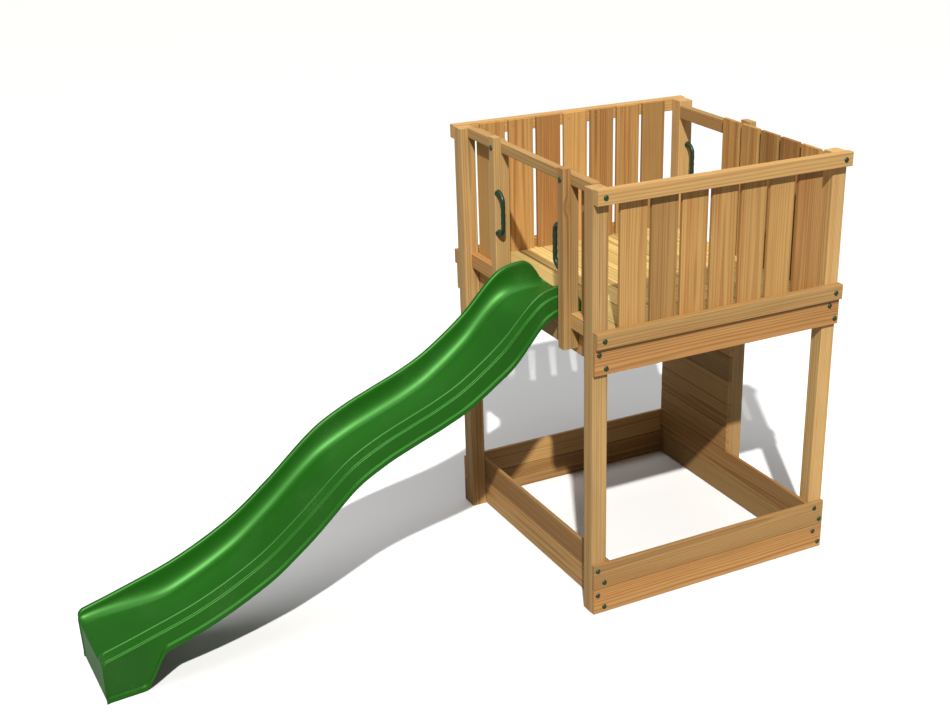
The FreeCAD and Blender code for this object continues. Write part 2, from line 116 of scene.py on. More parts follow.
class Graph:
    """Builds one node tree, a node at a time."""

    def __init__(self, tree: bpy.types.NodeTree) -> None:
        """Keep the tree that the nodes go into."""
        self.tree = tree

    def feed(self, socket: bpy.types.NodeSocket, value: Any) -> None:
        """Link a socket into an input, or set the input's own value.

        Args:
            socket: The input.
            value: An output socket, or a plain value.
        """
        if isinstance(value, bpy.types.NodeSocket):
            self.tree.links.new(value, socket)
        else:
            socket.default_value = value

    def node(self, kind: str, inputs: dict[Any, Any] | None = None, **settings: Any) -> bpy.types.Node:
        """Add a node.

        Args:
            kind: The node's type name.
            inputs: Values or sockets by input name or number.
            settings: The node's own properties.

        Returns:
            The new node.
        """
        made = self.tree.nodes.new(kind)
        for name, value in settings.items():
            setattr(made, name, value)
        for key, value in (inputs or {}).items():
            self.feed(made.inputs[key], value)
        return made

    def maths(self, operation: str, *values: Any, clamp: bool = False) -> bpy.types.NodeSocket:
        """Add a Math node and return its result."""
        made = self.node("ShaderNodeMath", dict(enumerate(values)), operation=operation, use_clamp=clamp)
        return made.outputs[0]

    def vector(self, operation: str, *values: Any) -> bpy.types.NodeSocket:
        """Add a Vector Math node and return its vector."""
        made = self.node("ShaderNodeVectorMath", dict(enumerate(values)), operation=operation)
        return made.outputs["Vector"]

    def length(self, value: bpy.types.NodeSocket) -> bpy.types.NodeSocket:
        """Add a Vector Math node that measures a vector."""
        return self.node("ShaderNodeVectorMath", {0: value}, operation="LENGTH").outputs["Value"]

    def parts(self, value: bpy.types.NodeSocket) -> Sequence[bpy.types.NodeSocket]:
        """Split a vector into its three numbers."""
        return self.node("ShaderNodeSeparateXYZ", {0: value}).outputs

    def step(self, value: Any, low: float | Any, high: float | Any) -> bpy.types.NodeSocket:
        """A smooth step from 0 at low to 1 at high."""
        inputs = {"Value": value, "From Min": low, "From Max": high}
        return self.node("ShaderNodeMapRange", inputs, interpolation_type="SMOOTHSTEP").outputs[0]

    def span(self, value: Any, low: float, high: float) -> bpy.types.NodeSocket:
        """A number from 0 to 1 spread from low to high."""
        return self.node("ShaderNodeMapRange", {"Value": value, "To Min": low, "To Max": high}).outputs[0]

    def blend(self, share: Any, first: Any, second: Any, way: str = "MIX") -> bpy.types.NodeSocket:
        """Mix two colours by a share."""
        made = self.node("ShaderNodeMix", data_type="RGBA", blend_type=way)
        for number, value in ((0, share), (6, first), (7, second)):
            self.feed(made.inputs[number], value)
        return made.outputs[2]

    def noise(self, place: Any, scale: Sequence[float], detail: float = 2.0) -> bpy.types.NodeSocket:
        """Noise with its own scale along each direction."""
        spread = self.vector("MULTIPLY", place, tuple(scale))
        inputs = {"Vector": spread, "Scale": 1.0, "Detail": detail, "Roughness": 0.55}
        return self.node("ShaderNodeTexNoise", inputs).outputs[0]


class ShaderGroup:
    """A shader effect that several materials use, built once."""

    made: dict[str, bpy.types.NodeTree] = {}

    @classmethod
    def get(cls, name: str, sockets: Iterable[tuple[str, str, str]],
            build: Callable[[Graph, Sequence[Any], Sequence[Any]], None]) -> bpy.types.NodeTree:
        """Find the group, or build it the first time.

        Args:
            name: The group's name.
            sockets: Each socket's name, direction and type.
            build: Fills the tree between the group's inputs and outputs.

        Returns:
            The group's node tree.
        """
        if name not in cls.made:
            tree = bpy.data.node_groups.new(name, "ShaderNodeTree")
            for label, way, kind in sockets:
                tree.interface.new_socket(label, in_out=way, socket_type=kind)
            graph = Graph(tree)
            source = graph.node("NodeGroupInput")
            target = graph.node("NodeGroupOutput")
            build(graph, source.outputs, target.inputs)
            cls.made[name] = tree
        return cls.made[name]


def build_grain(graph: Graph, given: Sequence[Any], result: Sequence[Any]) -> None:
    """Growth rings, fibres and knots of sawn softwood.

    Args:
        graph: The group's tree.
        given: The group's inputs. Grain is in metres: across, through and along the board.
        result: The group's outputs.
    """
    tone = given["Tone"]
    shift = graph.vector("SCALE", TONE_SHIFT)
    graph.feed(shift.node.inputs["Scale"], tone)
    place = graph.vector("ADD", given["Grain"], shift)
    second = graph.maths("FRACT", graph.maths("MULTIPLY", tone, SECOND_DRAW))
    third = graph.maths("FRACT", graph.maths("MULTIPLY", tone, THIRD_DRAW))

    cells = graph.vector("DIVIDE", place, KNOT_CELL)
    spot = graph.node("ShaderNodeTexVoronoi", {"Vector": cells, "Scale": 1.0, "Randomness": 0.8})
    offset = graph.vector("SUBTRACT", cells, spot.outputs["Position"])
    reach = graph.length(graph.vector("MULTIPLY", offset, (KNOT_CELL[0], KNOT_CELL[1], KNOT_CELL[2] * 0.62)))
    luck = graph.parts(spot.outputs["Color"])
    present = graph.maths("LESS_THAN", luck[0], given["Knots"])
    radius = graph.span(luck[1], 0.0035, 0.0095)
    core = graph.step(reach, radius, graph.maths("MULTIPLY", radius, 0.55))
    core = graph.maths("MULTIPLY", core, present)
    halo = graph.step(reach, graph.maths("MULTIPLY", radius, 4.2), graph.maths("MULTIPLY", radius, 0.8))
    halo = graph.maths("MULTIPLY", halo, present)

    across, through, _ = graph.parts(given["Grain"])
    pith_across = graph.maths("ADD", across, graph.span(second, -0.07, 0.07))
    pith_through = graph.maths("ADD", through, graph.span(third, 0.03, 0.10))
    sway = graph.noise(place, SWAY_SCALE, 2.0)
    centre = graph.node("ShaderNodeCombineXYZ", {0: pith_across, 1: pith_through}).outputs[0]
    ring_radius = graph.length(centre)
    ring_radius = graph.maths("MULTIPLY_ADD", sway, 0.020, ring_radius)
    ring_radius = graph.maths("MULTIPLY_ADD", halo, 0.006, ring_radius)
    ring = graph.maths("FRACT", graph.maths("DIVIDE", ring_radius, given["Ring Gap"]))
    late = graph.maths("SUBTRACT", graph.step(ring, 0.35, 0.86), graph.step(ring, 0.90, 1.0))

    fibre = graph.noise(place, FIBRE_SCALE, 3.0)
    streak = graph.noise(place, STREAK_SCALE, 3.0)
    patch = graph.noise(place, PATCH_SCALE, 2.0)

    colour = graph.blend(graph.maths("MULTIPLY", late, given["Contrast"]), given["Pale"], given["Deep"])
    warmth = graph.maths("ADD", graph.step(streak, 0.44, 0.62), graph.span(second, -0.75, 0.75), clamp=True)
    warmth = graph.maths("MULTIPLY", warmth, 0.75)
    colour = graph.blend(warmth, colour, graph.blend(late, given["Warm"], given["Deep"]))
    shade = graph.maths("MULTIPLY_ADD", fibre, 0.46, 0.77)
    shade = graph.maths("MULTIPLY", shade, graph.span(third, 0.74, 1.18))
    shade = graph.maths("MULTIPLY", shade, graph.span(patch, 0.84, 1.16))
    colour = graph.blend(1.0, colour, shade, "MULTIPLY")
    colour = graph.blend(graph.maths("MULTIPLY", halo, 0.45), colour, given["Deep"])
    colour = graph.blend(graph.maths("MULTIPLY", core, 0.85), colour, KNOT_COLOUR)

    rough = graph.maths("MULTIPLY_ADD", fibre, 0.22, 0.50)
    rough = graph.maths("MULTIPLY_ADD", core, -0.12, rough)
    height = graph.maths("MULTIPLY_ADD", fibre, 0.55, graph.maths("MULTIPLY", late, 0.45))
    graph.feed(result["Colour"], colour)
    graph.feed(result["Roughness"], rough)
    graph.feed(result["Height"], height)


def build_dust(graph: Graph, given: Sequence[Any], result: Sequence[Any]) -> None:
    """Fine dust and rubbed patches, as two masks.

    Args:
        graph: The group's tree.
        given: The group's inputs. Place is in metres.
        result: The group's outputs.
    """
    broad = graph.noise(given["Place"], (5.0, 5.0, 5.0), 4.0)
    fine = graph.noise(given["Place"], (160.0, 160.0, 160.0), 3.0)
    dust = graph.maths("MULTIPLY", graph.step(broad, 0.45, 0.75), graph.step(fine, 0.38, 0.72))
    scratch = graph.noise(given["Place"], (420.0, 9.0, 9.0), 2.0)
    rubbed = graph.maths("MULTIPLY", graph.step(scratch, 0.60, 0.72), graph.step(broad, 0.35, 0.65))
    graph.feed(result["Dust"], graph.maths("MULTIPLY", dust, given["Amount"]))
    graph.feed(result["Rubbed"], graph.maths("MULTIPLY", rubbed, given["Amount"]))


def new_material(name: str) -> tuple[bpy.types.Material, Graph, bpy.types.Node]:
    """Start a material.

    Args:
        name: The material's name.

    Returns:
        The material, its node graph and its Principled BSDF.
    """
    made = bpy.data.materials.new(name)
    made.use_nodes = True
    made.node_tree.nodes.clear()
    graph = Graph(made.node_tree)
    shader = graph.node("ShaderNodeBsdfPrincipled")
    output = graph.node("ShaderNodeOutputMaterial")
    graph.feed(output.inputs["Surface"], shader.outputs[0])
    return made, graph, shader


@dataclass(frozen=True)
class TimberFinish:
    """Planed and impregnated softwood."""

    slot: Slot
    pale: Colour = (0.48, 0.285, 0.100, 1.0)
    deep: Colour = (0.250, 0.110, 0.030, 1.0)
    warm: Colour = (0.42, 0.185, 0.052, 1.0)
    ring_gap: float = 0.0075
    contrast: float = 0.42
    knots: float = 0.16

    def material(self) -> bpy.types.Material:
        """Build the finish as a material that reads each board's own grain and tone."""
        made, graph, shader = new_material(self.slot.value)
        sockets = [
            ("Grain", "INPUT", "NodeSocketVector"), ("Tone", "INPUT", "NodeSocketFloat"),
            ("Pale", "INPUT", "NodeSocketColor"), ("Deep", "INPUT", "NodeSocketColor"),
            ("Warm", "INPUT", "NodeSocketColor"), ("Ring Gap", "INPUT", "NodeSocketFloat"),
            ("Contrast", "INPUT", "NodeSocketFloat"), ("Knots", "INPUT", "NodeSocketFloat"),
            ("Colour", "OUTPUT", "NodeSocketColor"), ("Roughness", "OUTPUT", "NodeSocketFloat"),
            ("Height", "OUTPUT", "NodeSocketFloat"),
        ]
        softwood = ShaderGroup.get("softwood_grain", sockets, build_grain)
        grain = graph.node("ShaderNodeGroup", node_tree=softwood)
        place = graph.node("ShaderNodeAttribute", attribute_type="GEOMETRY", attribute_name="grain")
        tone = graph.node("ShaderNodeAttribute", attribute_type="GEOMETRY", attribute_name="tone")
        values = {
            "Grain": place.outputs["Vector"], "Tone": tone.outputs["Fac"], "Pale": self.pale,
            "Deep": self.deep, "Warm": self.warm, "Ring Gap": self.ring_gap,
            "Contrast": self.contrast, "Knots": self.knots,
        }
        for label, value in values.items():
            graph.feed(grain.inputs[label], value)
        bump = graph.node("ShaderNodeBump", {"Strength": 0.35, "Distance": 0.0006,
                                             "Height": grain.outputs["Height"]})
        graph.feed(shader.inputs["Base Color"], grain.outputs["Colour"])
        graph.feed(shader.inputs["Roughness"], grain.outputs["Roughness"])
        graph.feed(shader.inputs["Normal"], bump.outputs[0])
        shader.inputs["Specular IOR Level"].default_value = 0.35
        return made


@dataclass(frozen=True)
class PlasticFinish:
    """Coloured moulded plastic with a fine skin, dust and rubbed streaks."""

    slot: Slot
    colour: Colour
    worn: Colour
    roughness: float = 0.30
    skin_scale: float = 900.0
    skin_depth: float = 0.00012
    dust: float = 0.5
    tint: Colour = (1.0, 1.0, 1.0, 1.0)
    shine: float = 0.5

    def material(self) -> bpy.types.Material:
        """Build the finish as a material."""
        made, graph, shader = new_material(self.slot.value)
        sockets = [
            ("Place", "INPUT", "NodeSocketVector"), ("Amount", "INPUT", "NodeSocketFloat"),
            ("Dust", "OUTPUT", "NodeSocketFloat"), ("Rubbed", "OUTPUT", "NodeSocketFloat"),
        ]
        place = graph.node("ShaderNodeTexCoord").outputs["Object"]
        wear = graph.node("ShaderNodeGroup", node_tree=ShaderGroup.get("dust_and_rub", sockets, build_dust))
        graph.feed(wear.inputs["Place"], place)
        wear.inputs["Amount"].default_value = self.dust
        cloud = graph.noise(place, (3.0, 2.0, 3.0), 3.0)
        colour = graph.blend(graph.maths("MULTIPLY", cloud, 0.30), self.colour, self.worn)
        colour = graph.blend(graph.maths("MULTIPLY", wear.outputs["Rubbed"], 0.35), colour, self.worn)
        colour = graph.blend(graph.maths("MULTIPLY", wear.outputs["Dust"], 0.10), colour, DUST_COLOUR)
        rough = graph.maths("MULTIPLY_ADD", wear.outputs["Dust"], 0.22, self.roughness)
        rough = graph.maths("MULTIPLY_ADD", wear.outputs["Rubbed"], 0.10, rough)
        skin = graph.noise(place, (self.skin_scale,) * 3, 2.0)
        bump = graph.node("ShaderNodeBump", {"Strength": 0.4, "Distance": self.skin_depth, "Height": skin})
        graph.feed(shader.inputs["Base Color"], colour)
        graph.feed(shader.inputs["Roughness"], rough)
        graph.feed(shader.inputs["Normal"], bump.outputs[0])
        shader.inputs["Specular Tint"].default_value = self.tint
        shader.inputs["Specular IOR Level"].default_value = self.shine
        return made


@dataclass(frozen=True)
class SteelFinish:
    """Zinc plated screw heads."""

    slot: Slot = Slot.STEEL
    colour: Colour = (0.50, 0.47, 0.38, 1.0)

    def material(self) -> bpy.types.Material:
        """Build the finish as a material."""
        made, graph, shader = new_material(self.slot.value)
        place = graph.node("ShaderNodeTexCoord").outputs["Object"]
        cloud = graph.noise(place, (700.0, 700.0, 700.0), 3.0)
        colour = graph.blend(graph.step(cloud, 0.35, 0.70), self.colour, STEEL_STAIN)
        graph.feed(shader.inputs["Base Color"], colour)
        graph.feed(shader.inputs["Roughness"], graph.span(cloud, 0.28, 0.55))
        shader.inputs["Metallic"].default_value = 1.0
        return made


class Workshop:
    """Turns meshes into finished pieces and keeps one material for each slot."""

    def __init__(self, finishes: Iterable[Any]) -> None:
        """Build every material.

        Args:
            finishes: One finish for each slot that is used.
        """
        self.materials = {finish.slot: finish.material() for finish in finishes}

    def finish(self, piece: bpy.types.Object, slot: Slot, replaced: Sequence[str] = ()) -> bpy.types.Object:
        """Dress a piece, set it on the body and hide the frame's nodes that it replaces.

        Args:
            piece: The finished mesh object.
            slot: Its material slot.
            replaced: The nodes of the frame that it replaces.

        Returns:
            The same piece.
        """
        piece.data.materials.clear()
        piece.data.materials.append(self.materials[slot])
        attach(piece, BODY)
        if replaced:
            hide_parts(*replaced)
        LOG.info("%s: %d faces, %s", piece.name, len(piece.data.polygons), slot.value)
        return piece

    def dress_node(self, node: bpy.types.Object, slot: Slot) -> None:
        """Give a piece that came with the frame its material."""
        node.data.materials.clear()
        node.data.materials.append(self.materials[slot])


def new_object(name: str, mesh: bpy.types.Mesh) -> bpy.types.Object:
    """Put a mesh into the scene at the origin."""
    made = bpy.data.objects.new(name, mesh)
    bpy.context.scene.collection.objects.link(made)
    return made


def mesh_object(name: str, build: bmesh.types.BMesh, smooth: bool) -> bpy.types.Object:
    """Make an object from a bmesh and free the bmesh.

    Args:
        name: The object's name.
        build: The shape.
        smooth: Whether its faces are shaded smooth.

    Returns:
        The new object.
    """
    bmesh.ops.recalc_face_normals(build, faces=build.faces)
    mesh = bpy.data.meshes.new(name)
    build.to_mesh(mesh)
    build.free()
    mesh.shade_smooth() if smooth else mesh.shade_flat()
    return new_object(name, mesh)


def drop(item: bpy.types.Object) -> None:
    """Take a helper object out of the file."""
    bpy.data.objects.remove(item, do_unlink=True)


def box_corners(node: str) -> tuple[Vector, Vector]:
    """The lowest and the highest corner of a node of the frame."""
    low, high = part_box(node)
    return Vector(low), Vector(high)


def add_plate(build: bmesh.types.BMesh, outline: Iterable[Sequence[float]], depth: Sequence[float]) -> None:
    """Fill a closed outline and draw it out into a solid plate.

    Args:
        build: The mesh that the plate is added to.
        outline: The points around one of its faces.
        depth: The way from that face to the opposite one.
    """
    face = build.faces.new([build.verts.new(point) for point in outline])
    grown = bmesh.ops.extrude_face_region(build, geom=[face], use_keep_orig=True)
    moved = [item for item in grown["geom"] if isinstance(item, bmesh.types.BMVert)]
    bmesh.ops.translate(build, verts=moved, vec=depth)


def join_rings(build: bmesh.types.BMesh, rings: Sequence[Sequence[bmesh.types.BMVert]]) -> None:
    """Join each closed ring of points to the next one with faces."""
    for first, second in zip(rings, rings[1:]):
        for number in range(len(first)):
            following = (number + 1) % len(first)
            build.faces.new((first[number], first[following], second[following], second[number]))


class GeometryRecipe:
    """A Geometry Nodes tree with named inputs that is applied and baked to a plain mesh."""

    def __init__(self, name: str, sockets: Iterable[tuple[str, str]]) -> None:
        """Start the tree.

        Args:
            name: The tree's name.
            sockets: Each input's name and type.
        """
        self.tree = bpy.data.node_groups.new(name, "GeometryNodeTree")
        self.tree.interface.new_socket("Geometry", in_out="INPUT", socket_type="NodeSocketGeometry")
        self.keys = {}
        for label, kind in sockets:
            made = self.tree.interface.new_socket(label, in_out="INPUT", socket_type=kind)
            self.keys[label] = made.identifier
        self.tree.interface.new_socket("Geometry", in_out="OUTPUT", socket_type="NodeSocketGeometry")
        self.graph = Graph(self.tree)
        self.source = self.graph.node("NodeGroupInput").outputs
        self.target = self.graph.node("NodeGroupOutput").inputs

    def close(self, geometry: bpy.types.NodeSocket) -> None:
        """End the tree with real meshes and their material."""
        real = self.graph.node("GeometryNodeRealizeInstances", {0: geometry}).outputs[0]
        inputs = {"Geometry": real, "Material": self.source["Finish"]}
        dressed = self.graph.node("GeometryNodeSetMaterial", inputs)
        self.graph.feed(self.target["Geometry"], dressed.outputs[0])

    def bake(self, name: str, points: Sequence[Vector], values: dict[str, Any]) -> bpy.types.Object:
        """Run the tree on some points and keep the result as a plain mesh object.

        Args:
            name: The piece's name.
            points: The points handed to the tree.
            values: A value for each named input.

        Returns:
            The baked object, with no modifier left on it.
        """
        seed_mesh = bpy.data.meshes.new(name + "_points")
        seed_mesh.from_pydata([tuple(point) for point in points], [], [])
        helper = new_object(name + "_points", seed_mesh)
        modifier = helper.modifiers.new("recipe", "NODES")
        modifier.node_group = self.tree
        for label, value in values.items():
            modifier[self.keys[label]] = value
        graph = bpy.context.evaluated_depsgraph_get()
        mesh = bpy.data.meshes.new_from_object(helper.evaluated_get(graph), depsgraph=graph)
        helper.modifiers.clear()
        drop(helper)
        mesh.name = name
        return new_object(name, mesh)


class TimberRecipe(GeometryRecipe):
    """Boards with eased long edges, laid out in a row."""

    def __init__(self) -> None:
        """Build the tree."""
        super().__init__("timber_row", [
            ("Width", "NodeSocketFloat"), ("Thickness", "NodeSocketFloat"), ("Length", "NodeSocketFloat"),
            ("Arris", "NodeSocketFloat"), ("Count", "NodeSocketInt"), ("Place", "NodeSocketVector"),
            ("Step", "NodeSocketVector"), ("Turn", "NodeSocketVector"), ("Seed", "NodeSocketInt"),
            ("Finish", "NodeSocketMaterial"),
        ])
        self.close(self.row(self.board()))

    def board(self) -> bpy.types.NodeSocket:
        """One board about the origin, with its length along Z and its own grain coordinates."""
        graph = self.graph
        outline = graph.node("GeometryNodeCurvePrimitiveQuadrilateral",
                             {"Width": self.source["Width"], "Height": self.source["Thickness"]})
        eased = graph.node("GeometryNodeFilletCurve", mode="POLY")
        for label, value in (("Curve", outline.outputs[0]), ("Radius", self.source["Arris"]), ("Count", 3)):
            graph.feed(eased.inputs[label], value)
        face = graph.node("GeometryNodeFillCurve", {"Curve": eased.outputs[0]}, mode="NGONS")
        half = graph.maths("MULTIPLY", self.source["Length"], -0.5)
        low = graph.node("ShaderNodeCombineXYZ", {2: half}).outputs[0]
        base = graph.node("GeometryNodeSetPosition", {"Geometry": face.outputs[0], "Offset": low}).outputs[0]
        along = graph.node("ShaderNodeCombineXYZ", {2: self.source["Length"]}).outputs[0]
        body = graph.node("GeometryNodeExtrudeMesh", {"Mesh": base, "Offset": along, "Individual": False})
        under = graph.node("GeometryNodeFlipFaces", {"Mesh": base}).outputs[0]
        both = graph.node("GeometryNodeJoinGeometry")
        graph.feed(both.inputs[0], body.outputs[0])
        graph.feed(both.inputs[0], under)
        closed = graph.node("GeometryNodeMergeByDistance", {"Geometry": both.outputs[0], "Distance": 0.00005})
        place = graph.node("GeometryNodeInputPosition").outputs[0]
        store = graph.node("GeometryNodeStoreNamedAttribute",
                           {"Geometry": closed.outputs[0], "Name": "grain", "Value": place},
                           data_type="FLOAT_VECTOR", domain="POINT")
        return store.outputs[0]

    def row(self, board: bpy.types.NodeSocket) -> bpy.types.NodeSocket:
        """The row of boards, each with its own tone."""
        graph = self.graph
        line = graph.node("GeometryNodeMeshLine", {"Count": self.source["Count"]}, mode="OFFSET")
        graph.feed(line.inputs["Start Location"], self.source["Place"])
        graph.feed(line.inputs["Offset"], self.source["Step"])
        laid = graph.node("GeometryNodeInstanceOnPoints", {"Points": line.outputs[0], "Instance": board,
                                                           "Rotation": self.source["Turn"]})
        draw = graph.node("FunctionNodeRandomValue", {"Seed": self.source["Seed"]}, data_type="FLOAT")
        toned = graph.node("GeometryNodeStoreNamedAttribute",
                           {"Geometry": laid.outputs[0], "Name": "tone", "Value": draw.outputs[1]},
                           data_type="FLOAT", domain="INSTANCE")
        return toned.outputs[0]


class HeadRecipe(GeometryRecipe):
    """Screw heads or caps set on a face at given points, each turned by chance about its own axis."""

    def __init__(self) -> None:
        """Build the tree."""
        super().__init__("screw_heads", [
            ("Head", "NodeSocketObject"), ("Turn", "NodeSocketVector"), ("Seed", "NodeSocketInt"),
            ("Finish", "NodeSocketMaterial"),
        ])
        graph = self.graph
        head = graph.node("GeometryNodeObjectInfo", {"Object": self.source["Head"]})
        laid = graph.node("GeometryNodeInstanceOnPoints", {
            "Points": self.source["Geometry"], "Instance": head.outputs["Geometry"],
            "Rotation": self.source["Turn"]})
        draw = graph.node("FunctionNodeRandomValue", {"Seed": self.source["Seed"]}, data_type="FLOAT")
        angle = graph.maths("MULTIPLY", draw.outputs[1], math.tau)
        spin = graph.node("ShaderNodeCombineXYZ", {2: angle}).outputs[0]
        spun = graph.node("GeometryNodeRotateInstances", {"Instances": laid.outputs[0], "Rotation": spin,
                                                          "Local Space": True})
        self.close(spun.outputs[0])


@dataclass(frozen=True)
class BoardRow:
    """One timber node of the frame: a single piece, or a row of equal boards."""

    node: str
    slot: Slot
    count: int = 1
    gap: float = 0.0
    along: Axis = Axis.X
    arris: float = 0.0025

    def lay(self, shop: Workshop, recipe: TimberRecipe, seed: int) -> bpy.types.Object:
        """Build the row where the frame has it.

        Args:
            shop: The materials.
            recipe: The tree that makes boards.
            seed: Draws the tones.

        Returns:
            The finished piece.
        """
        low, high = box_corners(self.node)
        size = high - low
        step = Vector((0.0, 0.0, 0.0))
        if self.count > 1:
            axis = self.along.value
            size[axis] = (size[axis] + self.gap) / self.count - self.gap
            step[axis] = size[axis] + self.gap
        thin, wide, long = sorted(Axis, key=lambda axis: size[axis.value])
        turn = Matrix((wide.unit(), long.unit().cross(wide.unit()), long.unit())).transposed()
        piece = recipe.bake(f"{self.node}_timber", [Vector((0.0, 0.0, 0.0))], {
            "Width": size[wide.value], "Thickness": size[thin.value], "Length": size[long.value],
            "Arris": self.arris, "Count": self.count, "Place": tuple(low + size / 2), "Step": tuple(step),
            "Turn": tuple(turn.to_euler()), "Seed": seed, "Finish": shop.materials[self.slot],
        })
        return shop.finish(piece, self.slot, [self.node])


@dataclass
class Tower:
    """The timber frame, deck, guard walls and climbing panel."""

    shop: Workshop
    wall_gap: float = 0.0196
    far_gap: float = 0.0098
    plank_gap: float = 0.002
    side_boards: int = 7
    back_boards: int = 5
    planks: int = 7
    deck_boards: int = 9
    first_seed: int = 11
    tone_step: float = 0.6180339
    post_arris: float = 0.004
    rail_arris: float = 0.003
    same_place: float = 1e-6

    def rows(self) -> list[BoardRow]:
        """Every timber piece that is a plain board, post or rail."""
        made = [BoardRow(f"post_{end}_{side}", Slot.POST, arris=self.post_arris)
                for end in ("front", "back") for side in ("near", "far")]
        sides = ("near", "far", "front", "back")
        made += [BoardRow(f"base_board_{level}_{side}", Slot.BOARD)
                 for level in ("low", "high") for side in sides]
        made += [BoardRow(f"deck_beam_{side}", Slot.BOARD) for side in sides]
        rails = [f"mid_rail_{place}" for place in ("near", "far", "front_near", "front_far", "back")]
        rails += [f"top_rail_{side}" for side in sides]
        made += [BoardRow(name, Slot.RAIL, arris=self.rail_arris) for name in rails]
        made += [BoardRow(f"joist_{number}", Slot.BOARD) for number in (1, 2, 3)]
        made += [BoardRow(f"deck_board_{number + 1}", Slot.DECK, arris=self.rail_arris)
                 for number in range(self.deck_boards)]
        made += [BoardRow(f"wall_boards_{side}", Slot.INFILL, self.side_boards, self.wall_gap, Axis.Y)
                 for side in ("near", "far")]
        made += [
            BoardRow("wall_board_front_near", Slot.INFILL),
            BoardRow("wall_boards_front_far", Slot.INFILL, 2, self.far_gap, Axis.X),
            BoardRow("wall_boards_back", Slot.INFILL, self.back_boards, self.wall_gap, Axis.X),
            BoardRow("climbing_planks", Slot.INFILL, self.planks, self.plank_gap, Axis.Z),
        ]
        return made

    def housed_upright(self, node: str, rail: str, seed: int) -> bpy.types.Object:
        """An upright with a notch at its head, open at the top, for a rail.

        Args:
            node: The upright's node.
            rail: The node of the rail that lies in the notch.
            seed: Sets its tone.

        Returns:
            The finished piece.
        """
        low, high = box_corners(node)
        rail_low, rail_high = box_corners(rail)
        rail_in_front = rail_low.y - low.y < high.y - rail_high.y
        open_y = low.y if rail_in_front else high.y
        deep_y = rail_high.y if rail_in_front else rail_low.y
        shut_y = high.y if rail_in_front else low.y
        outline = [(shut_y, low.z), (open_y, low.z), (open_y, rail_low.z), (deep_y, rail_low.z),
                   (deep_y, high.z), (shut_y, high.z)]
        build = bmesh.new()
        add_plate(build, [(low.x, y, z) for y, z in outline], (high.x - low.x, 0.0, 0.0))
        arrises = [edge for edge in build.edges if self.is_arris(edge, low, high)]
        bmesh.ops.bevel(build, geom=arrises, offset=self.rail_arris, segments=3, profile=0.5, affect="EDGES")
        piece = mesh_object(f"{node}_timber", build, smooth=False)
        middle = (low + high) / 2
        tone = math.modf(seed * self.tone_step)[0]
        piece.data.attributes.new("grain", "FLOAT_VECTOR", "POINT")
        piece.data.attributes.new("tone", "FLOAT", "POINT")
        for vertex in piece.data.vertices:
            piece.data.attributes["grain"].data[vertex.index].vector = vertex.co - middle
            piece.data.attributes["tone"].data[vertex.index].value = tone
        return self.shop.finish(piece, Slot.POST, [node])

    def is_arris(self, edge: bmesh.types.BMEdge, low: Vector, high: Vector) -> bool:
        """Whether an edge is one of the four long corners of an upright."""
        first, second = (vertex.co for vertex in edge.verts)
        upright = max(abs(first.x - second.x), abs(first.y - second.y)) < self.same_place
        outer = min(abs(first.y - low.y), abs(first.y - high.y)) < self.same_place
        return upright and outer

    def build(self) -> None:
        """Make every timber piece."""
        recipe = TimberRecipe()
        seed = self.first_seed
        for row in self.rows():
            row.lay(self.shop, recipe, seed)
            seed += 1
        for node, rail in (("jamb_near", "top_rail_front"), ("jamb_far", "top_rail_front"),
                           ("post_entry", "top_rail_back")):
            self.housed_upright(node, rail, seed)
            seed += 1


def lathe(name: str, profile: Sequence[Pair], sides: int) -> bpy.types.Object:
    """Turn a profile about Z into a closed solid.

    Args:
        name: The object's name.
        profile: Radius and height pairs from the top centre to the bottom centre.
        sides: How many sides the turned shape has.

    Returns:
        The new object.
    """
    build = bmesh.new()
    turns = [math.tau * side / sides for side in range(sides)]
    rings = [[build.verts.new((radius * math.cos(turn), radius * math.sin(turn), height)) for turn in turns]
             for radius, height in profile[1:-1]]
    join_rings(build, rings)
    for (_, height), ring in ((profile[0], rings[0]), (profile[-1], rings[-1])):
        pole = build.verts.new((0.0, 0.0, height))
        for side in range(sides):
            build.faces.new((pole, ring[side], ring[(side + 1) % sides]))
    return mesh_object(name, build, smooth=True)


